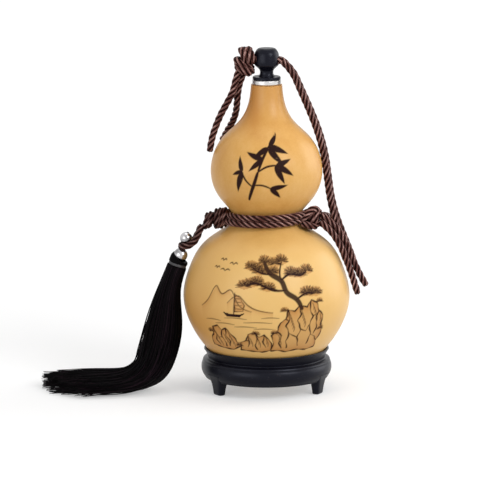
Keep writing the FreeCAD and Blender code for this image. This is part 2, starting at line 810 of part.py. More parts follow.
# Head: a cup under the lower bead, with a neck for the binding
cup = size("lower_bead_radius") + size("bead_gap")
head_bore = thread + size("fit_gap")
cup_edge = (cup * cup - size("head_top") * size("head_top")).root()
cup_floor = (cup * cup - head_bore * head_bore).root()
tassel_head = turned_body("tassel_head", (head_bore, -cup_floor), [
    ((cup_edge, -size("head_top")), cup, -1),
    ((size("head_radius"), -size("head_foot")), size("head_round") * 2, 1),
    ((size("head_neck_radius"), -size("head_foot")),),
    ((size("head_neck_radius"), -size("head_neck_foot")),),
    ((head_bore, -size("head_neck_foot")),),
    ((head_bore, -cup_floor),),
])
place_on_tassel(tassel_head)

# Binding: a rounded band on the neck of the head
band_inner = size("head_neck_radius") + size("fit_gap")
tassel_binding = turned_body("tassel_binding", (band_inner, -size("head_foot")), [
    ((band_inner, -size("head_neck_foot")),),
    ((size("binding_radius") - size("flange_edge"), -size("head_neck_foot")),),
    ((size("binding_radius") - size("flange_edge"), -size("head_foot")), size("binding_round"), -1),
    ((band_inner, -size("head_foot")),),
])
place_on_tassel(tassel_binding)

# Skirt: a loft through ellipses, hanging down and then lying out on the floor; middle, lean and halves
skirt_route = [
    (-57.6, -5.2, 65.5, 16, 6.7, 6.5), (-59.8, -6.0, 54.0, 12, 7.6, 7.4), (-62.0, -6.6, 40.0, 12, 8.8, 8.4),
    (-65.8, -7.2, 26.0, 22, 9.2, 9.6), (-74.0, -7.6, 14.6, 52, 7.6, 12.0), (-89.0, -8.0, 7.6, 78, 5.4, 17.0),
    (-108.0, -8.0, 5.7, 87, 4.0, 21.0), (-134.5, -7.5, 4.1, 90, 2.3, 21.5),
]


def skirt_section(place, lean, across, depth):
    major, minor, turn = (across, depth, 0) if across > depth else (depth, across, 90)
    ring = Part.Wire(Part.Ellipse(Vector(0, 0, 0), major, minor).toShape())
    ring.Placement = Placement(place, Rotation(Vector(0, 1, 0), lean) * Rotation(Vector(0, 0, 1), turn))
    return ring


lean = size("tassel_lean").value
foot_way = Rotation(Vector(0, 1, 0), lean).multVec(Vector(0, 0, -size("head_neck_foot").value))
skirt_top = Vector(-tassel_reach.value, -size("tassel_front").value, tassel_height.value)
top_round_shares = (1.0, 0.98)
skirt_rings = [skirt_section(skirt_top + foot_way, lean, *(
    size("binding_radius").value * share for share in top_round_shares))]
for x, y, z, lean, across, depth in skirt_route:
    unit = size("route_unit").value
    skirt_rings.append(skirt_section(Vector(x, y, z) * unit, lean, across * unit, depth * unit))
tassel_skirt = solid_part("tassel_skirt", Part.makeLoft(skirt_rings, True, False))

# Build, check and write one file per piece
doc.recompute()
pieces = [
    stand_ring, *feet, gourd_shell, wax_coat, mouth_collar, stopper_knob, *seal_rings, *knob_cords,
    stopper_knot, stopper_tail_left, stopper_tail_back, *leash_strands, waist_wrap, waist_knot_right,
    waist_tail_inner, waist_tail_outer, waist_knot_left, tassel_loop, tassel_thread, *beads, tassel_head,
    tassel_binding, tassel_skirt,
]
for item in doc.Objects:
    faults = [state for state in item.State if state in ("Invalid", "Error")]
    if faults:
        raise RuntimeError(f"{item.Label}: {faults}")
os.makedirs("parts", exist_ok=True)
for piece in pieces:
    if piece.Shape.isNull() or not piece.Shape.isValid():
        raise RuntimeError(f"{piece.Label} has no valid shape")
    piece.Shape.exportStep(f"parts/{piece.Label}.step")
    print(piece.Label, f"{len(piece.Shape.Solids)} solid, volume {piece.Shape.Volume:.0f}")
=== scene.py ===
import math

import bpy
import numpy as np
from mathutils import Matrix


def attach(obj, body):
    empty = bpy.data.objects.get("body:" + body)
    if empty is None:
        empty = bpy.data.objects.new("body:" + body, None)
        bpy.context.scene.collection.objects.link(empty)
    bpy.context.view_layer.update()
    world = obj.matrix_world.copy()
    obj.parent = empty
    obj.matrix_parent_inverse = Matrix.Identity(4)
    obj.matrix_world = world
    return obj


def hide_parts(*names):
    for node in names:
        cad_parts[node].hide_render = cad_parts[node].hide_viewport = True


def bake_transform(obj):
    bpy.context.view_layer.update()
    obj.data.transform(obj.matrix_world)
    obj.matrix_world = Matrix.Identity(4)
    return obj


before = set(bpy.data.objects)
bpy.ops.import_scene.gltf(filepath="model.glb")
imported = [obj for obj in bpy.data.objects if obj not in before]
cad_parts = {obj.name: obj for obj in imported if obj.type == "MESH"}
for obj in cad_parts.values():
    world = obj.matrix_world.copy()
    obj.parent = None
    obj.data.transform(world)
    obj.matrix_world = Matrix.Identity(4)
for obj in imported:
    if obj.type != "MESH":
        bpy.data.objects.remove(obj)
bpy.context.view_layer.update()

mm = 0.001
fullTurn = 2 * math.pi
draw = np.random.default_rng(11)


# Shader maths

class Wire:
    # A shader socket; arithmetic on it adds Math nodes, and node() adds any other node.
    def __init__(self, tree, socket=None):
        self.tree = tree
        self.socket = socket

    def node(self, kind, settings, inputs, output=0):
        made = self.tree.nodes.new("ShaderNode" + kind)
        for key, value in settings.items():
            if key == "stops":
                stops = made.color_ramp.elements
                while len(stops) < len(value):
                    stops.new(1.0)
                for stop, (place, colour) in zip(stops, value.items()):
                    stop.position = place
                    stop.color = colour
            else:
                setattr(made, key, value)
        for key, value in inputs.items():
            if isinstance(value, Wire):
                self.tree.links.new(value.socket, made.inputs[key])
            else:
                made.inputs[key].default_value = value
        return Wire(self.tree, made.outputs[output])

    def maths(self, operation, first, second=0.0):
        return self.node("Math", {"operation": operation}, {0: first, 1: second})

    def __add__(self, other):
        return self.maths("ADD", self, other)

    __radd__ = __add__

    def __sub__(self, other):
        return self.maths("SUBTRACT", self, other)

    def __rsub__(self, other):
        return self.maths("SUBTRACT", other, self)

    def __mul__(self, other):
        return self.maths("MULTIPLY", self, other)

    __rmul__ = __mul__

    def sine(self):
        return self.maths("SINE", self)

    def ramp(self, low, high):
        steps = {"interpolation_type": "SMOOTHSTEP"}
        return self.node("MapRange", steps, {0: self, 1: low, 2: high, 3: 0.0, 4: 1.0})

    def most(self, other):
        return self.maths("MAXIMUM", self, other)

    def feed(self, shader, key):
        self.tree.links.new(self.socket, shader.inputs[key])


def startFinish(name, fixed):
    finish = bpy.data.materials.new(name)
    finish.use_nodes = True
    shader = finish.node_tree.nodes["Principled BSDF"]
    for key, value in fixed.items():
        shader.inputs[key].default_value = value
    return finish, Wire(finish.node_tree), shader


def objectPlace(wire, stretch=(1.0, 1.0, 1.0)):
    place = wire.node("TexCoord", {}, {}, "Object")
    return wire.node("Mapping", {}, {"Vector": place, "Scale": stretch})


def oneAxis(wire, vector, letter):
    return wire.node("SeparateXYZ", {}, {0: vector}, letter)


def ownTone(wire, name):
    # a number that the piece's own points carry
    return wire.node("Attribute", {"attribute_name": name}, {}, "Fac")


def noise(wire, place, scale, detail=3.0, roughness=0.55):
    inputs = {"Vector": place, "Scale": scale, "Detail": detail, "Roughness": roughness}
    return wire.node("TexNoise", {}, inputs)


def blendColour(wire, low, high, share):
    return wire.node("Mix", {"data_type": "RGBA"}, {0: share, 6: low, 7: high}, 2)


def rampColour(wire, tone, stops):
    return wire.node("ValToRGB", {"stops": stops}, {0: tone})


def bumpOn(wire, shader, height, distance, strength=1.0):
    bump = wire.node("Bump", {}, {"Height": height, "Distance": distance, "Strength": strength})
    bump.feed(shader, "Normal")


def rgb(red, green, blue):
    return (red, green, blue, 1.0)


def times(share, colour):
    return rgb(*(share * each for each in colour[:3]))


# Surfaces

def roundSteps(count):
    # evenly spaced angles once round
    return np.linspace(0, fullTurn, count, endpoint=False)


def unit(vectors):
    return vectors / np.linalg.norm(vectors, axis=-1, keepdims=True)


def gridFaces(rows, columns, closeRows=False):
    # quads of a grid of points, row by row; its columns close on themselves, and its rows where told
    low = np.arange(rows if closeRows else rows - 1)[:, None]
    high = (low + 1) % rows
    column = np.arange(columns)
    on = (column + 1) % columns
    corners = [low * columns + column, low * columns + on, high * columns + on, high * columns + column]
    return np.stack(corners, -1).reshape(-1, 4)


def fanFaces(ring, middle):
    # triangles from a ring of points to one middle point
    return np.stack([ring, np.roll(ring, -1), np.full(len(ring), middle)], -1)


def closedGrid(grid, lowPole, highPole, first=0):
    # a grid that wraps round, with a fan to a pole at each end; first is the number of its first point
    rows, columns = grid.shape[:2]
    ring = np.arange(columns) + first
    poles = first + rows * columns
    faces = [*(gridFaces(rows, columns) + first), *fanFaces(ring[::-1], poles),
             *fanFaces((rows - 1) * columns + ring, poles + 1)]
    return np.concatenate([grid.reshape(-1, 3), [lowPole, highPole]]), faces


def gridUv(rows, columns, longWay):
    # one corner of UV for each corner of a wrapped grid: the long way along, 0 to 1 around
    row = np.arange(rows - 1)[:, None, None] + np.array([0, 0, 1, 1])
    column = np.arange(columns)[None, :, None] + np.array([0, 1, 1, 0])
    row, column = np.broadcast_arrays(row, column)
    return np.stack([longWay[row], column / columns], -1).reshape(-1, 2)


def sectionRing(side, over, sides):
    # a unit circle across a line, at each of its points
    angle = roundSteps(sides)[:, None]
    return side[..., None, :] * np.cos(angle) + over[..., None, :] * np.sin(angle)


def addPiece(name, points, faces, finish, slot, body=None, nodes=(), uv=None, tones=None, sharp=None):
    mesh = bpy.data.meshes.new(name)
    mesh.from_pydata(points.reshape(-1, 3), [], faces)
    mesh.polygons.foreach_set("use_smooth", np.ones(len(mesh.polygons), bool))
    if uv is not None:
        layer = mesh.uv_layers.new(name="lay")
        layer.data.foreach_set("uv", uv.astype(np.float32).ravel())
    for toneName, values in (tones or {}).items():
        tone = mesh.attributes.new(toneName, "FLOAT", "POINT")
        tone.data.foreach_set("value", values.astype(np.float32).ravel())
    mesh.materials.append(finish)
    mesh.update()
    if sharp:
        mesh.set_sharp_from_angle(angle=math.radians(sharp))
    piece = bpy.data.objects.new(name, mesh)
    bpy.context.scene.collection.objects.link(piece)
    if body:
        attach(piece, body)
    if nodes:
        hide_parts(*nodes)
    return piece


cornerLead = 0.35  # how far the extra points stand off an arc, as a share of its radius


def softLine(corners, steps=6):
    # an outline whose corners (radius, height, round) become arcs, with a point just before and after each
    line = []
    for index, (radius, height, bend) in enumerate(corners):
        here = np.array([radius, height])
        if bend == 0:
            line.append(here)
            continue
        before = np.array(corners[index - 1][:2]) - here
        after = np.array(corners[(index + 1) % len(corners)][:2]) - here
        wayIn, wayOut = unit(before), unit(after)
        half = math.acos(np.clip(wayIn @ wayOut, -1, 1)) / 2
        cut = bend / math.tan(half)
        middle = here + unit(wayIn + wayOut) * bend / math.sin(half)
        start, end = here + wayIn * cut - middle, here + wayOut * cut - middle
        sweep = math.pi - 2 * half
        share = np.linspace(0, 1, steps)[:, None] * sweep
        arc = (np.sin(sweep - share) * start + np.sin(share) * end) / math.sin(sweep) + middle
        lead = bend * cornerLead
        line += [here + wayIn * (cut + lead), *arc, here + wayOut * (cut + lead)]
    return np.array(line)


def softStretch(corners):
    # a soft line without its first and last corner, which only lead its arcs
    return softLine(corners)[1:-1]


def arcLine(start, end, radius, side, steps=14):
    # points of a circular arc from start to end, bulging to the right (1) or left (-1) of the way
    start, end = np.array(start), np.array(end)
    chord = end - start
    long = np.linalg.norm(chord)
    across = np.array([chord[1], -chord[0]]) / long * side
    middle = (start + end) / 2 - across * math.sqrt(radius ** 2 - (long / 2) ** 2)
    sweep = 2 * math.asin(long / 2 / radius)
    share = np.linspace(0, 1, steps)[:, None] * sweep
    spokes = np.sin(sweep - share) * (start - middle) + np.sin(share) * (end - middle)
    return spokes / math.sin(sweep) + middle


def turnedPoints(line, turns):
    # every point of a line (radius, height) carried round the upright axis, at the given angles
    radius, height = line[:, :1], line[:, 1:]
    return np.stack([radius * np.cos(turns), radius * np.sin(turns), height * np.ones_like(turns)], -1)


def toMetres(points):
    return points * mm


def turnedRing(name, line, columns, place=toMetres, **facts):
    # a closed outline turned into a ring, then put in its place
    points = place(turnedPoints(line, roundSteps(columns)))
    return addPiece(name, points, gridFaces(len(line), columns, closeRows=True), **facts)


def reachAlong(points):
    # length along a line, from its first point to each of its points
    return np.concatenate([[0], np.cumsum(np.linalg.norm(np.diff(points, axis=0), axis=1))])


def readAlong(places, reach, points):
    # points read between those of a line, at places along its reach
    return np.stack([np.interp(places, reach, column) for column in points.T], -1)


def splineThrough(knots, share):
    # natural cubic spline through the knots, by the length of its chords, read at shares from 0 to 1
    knots = np.array(knots, float)
    place = reachAlong(knots)
    gap = np.diff(place)
    count = len(knots)
    system = np.eye(count)
    inner = np.arange(1, count - 1)
    system[inner, inner - 1] = gap[:-1]
    system[inner, inner] = 2 * (gap[:-1] + gap[1:])
    system[inner, inner + 1] = gap[1:]
    slope = np.diff(knots, axis=0) / gap[:, None]
    pull = np.zeros_like(knots)
    pull[1:-1] = 6 * np.diff(slope, axis=0)
    bend = np.linalg.solve(system, pull)
    at = np.asarray(share) * place[-1]
    span = np.clip(np.searchsorted(place, at, side="right") - 1, 0, count - 2)
    wide = gap[span][:, None]
    before = ((place[span + 1] - at) / gap[span])[:, None]
    after = 1 - before
    curve = (before ** 3 - before) * bend[span] + (after ** 3 - after) * bend[span + 1]
    return before * knots[span] + after * knots[span + 1] + curve * wide ** 2 / 6


# Camera at the photograph's angle, far away with a long lens

view = {
    "elevation": 10.3,
    "distance": 3.0,
    "target": (-0.0099, 0.0, 0.0848),
    "frameWidth": 0.300,
    "sensor": 36.0,
    "clipEnd": 50.0,
}


def addCamera():
    lens = bpy.data.cameras.new("camera")
    lens.sensor_width = view["sensor"]
    lens.lens = view["sensor"] * view["distance"] / view["frameWidth"]
    lens.clip_end = view["clipEnd"]
    camera = bpy.data.objects.new("camera", lens)
    bpy.context.scene.collection.objects.link(camera)
    rise = math.radians(view["elevation"])
    back = np.array([0.0, -math.cos(rise), math.sin(rise)]) * view["distance"]
    camera.location = np.array(view["target"]) + back
    camera.rotation_euler = (math.pi / 2 - rise, 0, 0)
    bpy.context.scene.camera = camera


addCamera()
print("camera set")


# Cord: four strands laid right-handed over a core, round the line of a smooth spline

cordSize = {
    "diameter": 3.65,
    "envelope": 1.17,  # over the strands' lobes
    "lay": 16.5,  # length of one turn of a strand
    "strands": 4,
    "strandShare": 0.204,  # this and the next two are radii, as shares of the diameter
    "centreShare": 0.300,
    "coreShare": 0.190,
    "stepsPerLay": 26,
    "sides": 8,
    "tip": 0.9,
    "tipLeast": 0.02,
    "tipGather": 0.35,  # how far the strands draw in at a cut end
    "strandShift": 0.37,  # keeps the strands' patterns apart
    "innerSide": 0.5,  # the side of a strand, once round it, that is turned to the core and given the darkest painted shade
    "splineSteps": 24,
}
cordColour = {
    "dark": rgb(0.014, 0.0040, 0.0034),
    "middle": rgb(0.086, 0.0265, 0.0220),
    "light": rgb(0.330, 0.146, 0.120),
    # painted shade for the valleys between strands
    "valleyShade": rgb(0.0060, 0.0018, 0.0016),
    # a painted highlight for the strands' crowns
    "gleam": rgb(0.68, 0.43, 0.38),
    # painted shade for the left waist knot and the tassel's loop
    "leftShade": rgb(0.012, 0.0040, 0.0036),
    "sheen": rgb(0.95, 0.60, 0.52),
}


cordPattern = {
    "specular": 0.07,
    "coatRoughness": 0.20,
    "roughness": (0.24, 0.22),  # the least, and what the fibres add
    "bump": (0.00016, 0.6, 0.6),  # distance, and the shares of yarns and fibres
    "yarns": (7.0, 4.0),  # around a strand, and their twist over one lay
    "fibres": (5.0, 26.0, 14.0),  # along a lay, around a strand, and their twist
    "patches": 190.0,
    "toneShares": (0.28, 0.55, 0.30),  # of yarns, fibres and patches
    "crown": (0.10, 0.86),  # from a strand's valley to its crown
    # painted highlight on the strands' crowns
    "gleam": 0.95,
    "gleamCrown": (0.80, 1.0),
    "gleamFibres": (0.36, 0.66),
    "gleamPatches": (0.30, 0.64),
    "coat": 0.02,
    "coatCrown": (0.70, 1.0),
    # painted shade on the left waist knot and the tassel's loop
    "leftShade": 0.55,
    "leftShadeSpan": (0.018, 0.032),  # metres to the left, and of height
    "leftShadeHeight": (0.112, 0.124),
}


def cordFinish():
    look = cordPattern
    finish, wire, shader = startFinish("silkyCord", {
        "Specular IOR Level": look["specular"], "Specular Tint": cordColour["sheen"],
        "Coat Roughness": look["coatRoughness"],
    })
    uv = wire.node("UVMap", {"uv_map": "lay"}, {})
    along = oneAxis(wire, uv, "X")
    around = oneAxis(wire, uv, "Y")
    place = objectPlace(wire)
    # yarns wind round each strand, fibres streak along it, and patches vary the whole
    yarns, yarnTwist = look["yarns"]
    yarn = ((around * yarns - along * yarnTwist) * fullTurn).sine() * 0.5 + 0.5
    fibreRun, fibres, fibreTwist = look["fibres"]
    streaks = wire.node("CombineXYZ", {}, {0: along * fibreRun, 1: around * fibres - along * fibreTwist})
    fibre = noise(wire, streaks, 1.0, 4.0, 0.7)
    patch = noise(wire, place, look["patches"], 2.0)
    yarnShare, fibreShare, patchShare = look["toneShares"]
    tone = yarn * yarnShare + fibre * fibreShare + patch * patchShare
    stops = {0.25: cordColour["dark"], 0.55: cordColour["middle"], 0.85: cordColour["light"]}
    colour = rampColour(wire, tone, stops)
    # painted shade: the strand's outer side is the crown, and the base colour darkens towards the valleys
    # between strands, where shade falls
    crown = ((around + 0.25) * fullTurn).sine()
    colour = blendColour(wire, cordColour["valleyShade"], colour, crown.ramp(*look["crown"]))
    # painted highlight: the base colour lightens to a pale gleam along each strand's crown, where fibres and
    # patches allow
    gleam = crown.ramp(*look["gleamCrown"]) * fibre.ramp(*look["gleamFibres"])
    gleam = gleam * patch.ramp(*look["gleamPatches"]) * look["gleam"]
    colour = blendColour(wire, colour, cordColour["gleam"], gleam)
    # painted shade: the left waist knot and the tassel's loop are darker
    left = 0.0 - oneAxis(wire, place, "X")
    leftShade = left.ramp(*look["leftShadeSpan"]) * (1.0 - oneAxis(wire, place, "Z").ramp(*look["leftShadeHeight"]))
    colour = blendColour(wire, colour, cordColour["leftShade"], leftShade * look["leftShade"])
    colour.feed(shader, "Base Color")
    (crown.ramp(*look["coatCrown"]) * (look["coat"] + fibre * patch)).feed(shader, "Coat Weight")
    least, added = look["roughness"]
    (least + fibre * added).feed(shader, "Roughness")
    distance, yarnBump, fibreBump = look["bump"]
    bumpOn(wire, shader, yarn * yarnBump + fibre * fibreBump, distance)
    return finish


cordLook = cordFinish()


def splineLine(route, step):
    # evenly spaced points along the NURBS spline that has the route as its control points
    curve = bpy.data.curves.new("routeLine", "CURVE")
    curve.dimensions = "3D"
    spline = curve.splines.new("NURBS")
    spline.points.add(len(route) - 1)
    spline.points.foreach_set("co", np.column_stack([route, np.ones(len(route))]).ravel())
    spline.order_u = 3
    spline.use_endpoint_u = True
    spline.resolution_u = cordSize["splineSteps"]
    holder = bpy.data.objects.new("routeLine", curve)
    mesh = bpy.data.meshes.new_from_object(holder)
    line = np.empty(len(mesh.vertices) * 3)
    mesh.vertices.foreach_get("co", line)
    bpy.data.objects.remove(holder)
    bpy.data.curves.remove(curve)
    bpy.data.meshes.remove(mesh)
    line = line.reshape(-1, 3)
    reach = reachAlong(line)
    keep = np.concatenate([[True], np.diff(reach) > 1e-9])  # the spline may repeat a point
    places = np.linspace(0, reach[-1], max(int(reach[-1] / step), 4) + 1)
    return readAlong(places, reach[keep], line[keep]), places


def carriedFrame(line):
    # two directions across the line that turn with it and don't twist about it
    way = unit(np.gradient(line, axis=0))
    across = np.empty_like(way)
    steep = abs(way[0, 2]) > 0.9  # then X is crossed, or else Z
    across[0] = unit(np.cross(way[0], (1.0, 0.0, 0.0) if steep else (0.0, 0.0, 1.0)))
    for index in range(1, len(line)):
        across[index] = unit(across[index - 1] - way[index] * (across[index - 1] @ way[index]))
    return across, np.cross(way, across)


def strandTubes(line, places, diameter, lay, phase, tips):
    # strand centre = line + centre radius at an angle that grows with length; round section about it;
    # one more tube with no centre radius is the core
    across, over = carriedFrame(line)
    count, sides, strands = len(line), cordSize["sides"], cordSize["strands"]
    far = np.full(count, np.inf)
    ends = np.minimum(places if tips[0] else far, places[-1] - places if tips[1] else far)
    tip = diameter * cordSize["tip"] / 2
    closing = np.sqrt(1 - (1 - np.clip(ends / tip, cordSize["tipLeast"], 1)) ** 2)
    gather = cordSize["tipGather"] + (1 - cordSize["tipGather"]) * closing
    points, faces, uvs = [], [], []
    for strand in range(strands + 1):
        inCore = strand == strands
        centreShare = 0.0 if inCore else cordSize["centreShare"]
        share = cordSize["coreShare"] if inCore else cordSize["strandShare"]
        turn = phase + fullTurn * (places / lay + strand / strands)
        out = across * np.cos(turn)[:, None] + over * np.sin(turn)[:, None]
        centre = line + out * (centreShare * diameter * gather)[:, None]
        strandWay = unit(np.gradient(centre, axis=0))
        side = unit(out - strandWay * np.sum(out * strandWay, -1, keepdims=True))
        ring = sectionRing(side, np.cross(strandWay, side), sides)
        tube = centre[:, None] + ring * (share * diameter * closing)[:, None, None]
        tubePoints, tubeFaces = closedGrid(tube, centre[0], centre[-1], strand * (count * sides + 2))
        wallUv = gridUv(count, sides, places / lay + strand * cordSize["strandShift"])
        # the core takes the painted shade of the strands' inner sides
        if inCore:
            wallUv[:, 1] = cordSize["innerSide"]
        capUv = np.full((2 * sides * 3, 2), cordSize["innerSide"])  # cut ends take the strands' painted valley shade
        points.append(tubePoints)
        faces += tubeFaces
        uvs += [wallUv, capUv]
    return np.concatenate(points), faces, np.concatenate(uvs)


def rope(name, route, body=None, nodes=(), tips=(False, False), phase=0.0, thick=1.0):
    # a laid cord along a route given in millimetres; returns the piece and its line
    diameter = cordSize["diameter"] * cordSize["envelope"] * mm * thick
    lay = cordSize["lay"] * mm * thick
    line, places = splineLine(np.array(route, float) * mm, lay / cordSize["stepsPerLay"])
    points, faces, uv = strandTubes(line, places, diameter, lay, phase, tips)
    return addPiece(name, points, faces, cordLook, "brown_cord", body, nodes, uv), line


# Free tails: two from the stopper's knot, two from the right waist knot; body, phase and route
tailRoutes = {
    "stopper_tail_left": ("stopper", 0.4, [
        (-16.5, -1.6, 194.0), (-18.6, -2.0, 187.8), (-19.9, -2.0, 181.2), (-23.6, -2.0, 174.2),
        (-27.6, -1.5, 167.0), (-30.6, -1.0, 159.4), (-33.0, -0.4, 151.9), (-34.0, 0.2, 144.4),
    ]),
    "stopper_tail_back": ("stopper", 1.3, [
        (-13.2, 0.9, 193.0), (-15.9, 1.5, 187.0), (-17.1, 2.2, 180.6), (-17.7, 4.0, 173.8),
        (-18.3, 8.0, 167.0), (-20.4, 12.6, 160.6), (-23.8, 17.0, 154.2), (-27.0, 20.6, 147.4),
    ]),
    "waist_tail_inner": ("gourd", 0.9, [
        (32.0, -7.4, 103.2), (38.0, -7.8, 98.5), (42.4, -8.0, 92.3), (45.7, -8.0, 85.7),
        (48.4, -7.6, 78.9), (50.8, -7.0, 72.0), (52.9, -6.2, 65.2), (54.8, -5.4, 58.9),
    ]),
    "waist_tail_outer": ("gourd", 2.1, [
        (32.4, -4.6, 106.8), (39.4, -4.6, 102.2), (44.6, -4.7, 95.6), (48.2, -4.8, 88.6),
        (51.0, -4.8, 81.7), (53.9, -4.4, 75.0), (57.0, -3.8, 68.6), (60.0, -3.2, 63.6),
    ]),
}
for tailName, (tailBody, tailPhase, tailRoute) in tailRoutes.items():
    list(rope(f"{tailName}_rope", tailRoute, tailBody, [tailName], (False, True), tailPhase))

# Leash: two strands on both sides of a middle route, whose fourth number turns the pair about Z
leash = {
    "strands": {"leash_front": (-1, 0.2), "leash_back": (1, 1.9)},  # side and phase
    "spacing": 4.3,
    "low": (0.030, 0.0, 0.1047),
    "high": (0.030, 0.0, 0.1960),
    "middle": [
        (8.7, 0.0, 200.0, 0), (15.2, 0.2, 194.2, 6), (20.0, 0.5, 183.0, 8), (25.4, 1.0, 171.0, 10),
        (30.6, 1.5, 158.0, 12), (34.6, 2.0, 144.0, 13), (36.6, 2.4, 130.0, 13), (38.4, 2.8, 116.0, 14),
        (41.8, 3.0, 103.0, 18), (46.0, 3.8, 91.0, 34), (49.0, 7.0, 81.4, 62), (50.1, 13.0, 76.6, 84),
        (49.6, 20.4, 77.0, 96), (47.4, 26.2, 82.6, 106), (43.4, 27.6, 90.8, 116), (38.8, 23.4, 98.8, 120),
        (34.4, 15.4, 103.4, 114), (31.0, 7.0, 104.9, 106), (29.2, -1.0, 104.7, 100),
    ],
}


def leashRoute(side):
    middle = np.array(leash["middle"])
    turn = np.radians(middle[:, 3])
    away = np.stack([np.sin(turn), np.cos(turn), np.zeros_like(turn)], -1)
    return middle[:, :3] + away * side * leash["spacing"] / 2


for leashName, (leashSide, leashPhase) in leash["strands"].items():
    leashPair = rope(f"{leashName}_rope", leashRoute(leashSide), None, [leashName], phase=leashPhase)
    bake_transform(leashPair[0])

# Two short stretches through the knob, on both sides of the middle
knobCord = {
    "sides": {"knob_cord_front": -1, "knob_cord_back": 1},
    "route": [(-10.6, 1.95, 200.4), (-4.0, 1.95, 200.0), (4.0, 1.95, 200.0), (9.2, 2.05, 199.8)],
}
for knobName, knobSide in knobCord["sides"].items():
    knobRoute = np.array(knobCord["route"]) * (1, knobSide, 1)
    rope(f"{knobName}_rope", knobRoute, "stopper", [knobName], phase=knobSide)

# The loop that carries the tassel
loopRoute = [
    (-38.9, -5.4, 100.6), (-40.4, -6.9, 96.6), (-42.2, -7.7, 92.6), (-44.8, -7.9, 89.8), (-47.8, -7.4, 88.4),
    (-50.4, -6.2, 88.1), (-51.4, -4.0, 88.1), (-50.4, -1.8, 88.2), (-47.8, -0.6, 88.5), (-44.8, -0.2, 89.8),
    (-42.2, -0.4, 92.8), (-40.4, -1.0, 96.8), (-38.9, -1.6, 100.6),
]
loopPair = rope("tassel_loop_rope", loopRoute, "tassel", ["tassel_loop"], (True, True))

# Two turns round the waist: turn, radius and height at chosen places
waistWinding = {
    "route": [
        (-9, 27.2, 101.2), (81, 26.1, 102.2), (171, 25.0, 103.2), (261, 24.0, 104.2), (351, 23.2, 105.1),
        (441, 22.8, 106.0), (531, 23.2, 107.0), (621, 24.0, 107.9), (711, 24.8, 108.8),
    ],
    "pointsPerTurn": 24,
    "thick": 0.98,
}


def windingRoute():
    # radius and height read between the chosen places; the spline cuts in, so the points stand out
    rows = np.array(waistWinding["route"], float)
    step = 360 / waistWinding["pointsPerTurn"]
    turns = np.arange(rows[0, 0], rows[-1, 0] + step / 2, step)
    radius = np.interp(turns, rows[:, 0], rows[:, 1]) / math.cos(math.radians(step / 2))
    height = np.interp(turns, rows[:, 0], rows[:, 2])
    angle = np.radians(turns)
    return np.stack([radius * np.cos(angle), radius * np.sin(angle), height], -1)


rope("waist_wrap_rope", windingRoute(), "gourd", ["waist_wrap"], thick=waistWinding["thick"])
print("cords laid")


# Knots: turns of the same cord wound over a hidden core

knots = {
    "stopper_knot": {
        "body": "stopper",
        "core": ((-12.6, 0.0, 199.0), (3.4, 3.4, 7.2)),
        "coils": [
            dict(centre=(-11.2, -0.6, 202.3), right=(0.0, 3.7, 0.0), up=(-1.2, 0.0, 3.9),
                 drift=(6.0, 0.0, 0.4), turns=2.6, start=0.1),
            dict(centre=(-13.2, -0.4, 195.9), right=(4.3, 0.0, -1.8), up=(0.0, 3.6, 0.0),
                 drift=(0.8, 0.0, -5.4), turns=2.6, start=0.3),
        ],
        "stretches": [],
    },
    "waist_knot_right": {
        "body": "gourd",
        "core": ((27.4, -6.2, 105.0), (4.4, 4.0, 5.0)),
        "coils": [
            dict(centre=(28.2, -5.6, 105.0), right=(0.0, 3.2, 0.0), up=(0.9, 0.0, 4.4),
                 drift=(4.4, 0.0, 0.0), turns=2.3, start=0.0),
        ],
        "stretches": [
            [(20.6, -13.0, 104.6), (23.2, -12.0, 107.6), (26.2, -10.4, 111.0), (29.4, -8.0, 111.6),
             (30.8, -5.2, 109.2), (30.6, -2.4, 106.0)],
            [(20.4, -13.4, 103.6), (23.8, -12.4, 102.4), (27.2, -10.6, 100.8), (30.2, -7.8, 101.0),
             (31.2, -4.6, 103.6)],
        ],
    },
    "waist_knot_left": {
        "body": "gourd",
        "core": ((-28.0, -3.0, 104.4), (7.5, 3.8, 3.9)),
        "coils": [
            dict(centre=(-27.4, -3.4, 104.9), right=(0.0, 4.0, 0.0), up=(0.7, 0.0, 4.5),
                 drift=(5.8, 0.0, 0.5), turns=2.5, start=0.2),
            dict(centre=(-34.8, -3.0, 103.5), right=(0.0, 3.2, 0.0), up=(1.3, 0.0, 3.4),
                 drift=(3.4, 0.0, 1.2), turns=1.8, start=0.1),
        ],
        "stretches": [],
    },
}


def coilRoute(centre, right, up, drift, turns, start, perTurn=14):
    # an ellipse of two half axes that drifts along a third direction over its turns
    count = int(turns * perTurn) + 1
    angle = (start + np.linspace(0, turns, count)[:, None]) * fullTurn
    swing = np.linspace(-0.5, 0.5, count)[:, None]
    outward = 1 / math.cos(math.pi / perTurn)  # the spline cuts in, so the points stand out
    ellipse = np.cos(angle) * np.array(right) + np.sin(angle) * np.array(up)
    return np.array(centre) + ellipse * outward + swing * np.array(drift)


def addCore(name, centre, halves, body, rows=12, columns=20):
    # an ellipsoid by two angles, in the painted shade of a strand's inner side, standing for the shadowed
    # inside of a knot
    tilt = np.linspace(-math.pi / 2, math.pi / 2, rows)[1:-1]
    ball = turnedPoints(np.stack([np.cos(tilt), np.sin(tilt)], -1), roundSteps(columns))
    points, faces = closedGrid(ball, (0, 0, -1), (0, 0, 1))
    uv = np.full((sum(len(face) for face in faces), 2), cordSize["innerSide"])
    addPiece(name, (np.array(centre) + points * halves) * mm, faces, cordLook, "brown_cord", body, uv=uv)


for knotName, knot in knots.items():
    addCore(f"{knotName}_core", *knot["core"], knot["body"])
    knotRoutes = [coilRoute(**coil) for coil in knot["coils"]] + knot["stretches"]
    for number, knotRoute in enumerate(knotRoutes):
        rope(f"{knotName}_turns_{number}", knotRoute, knot["body"], [knotName], (True, True), phase=number)
print("knots tied")


# Gourd: the outline turned round its axis, finer where it is decorated

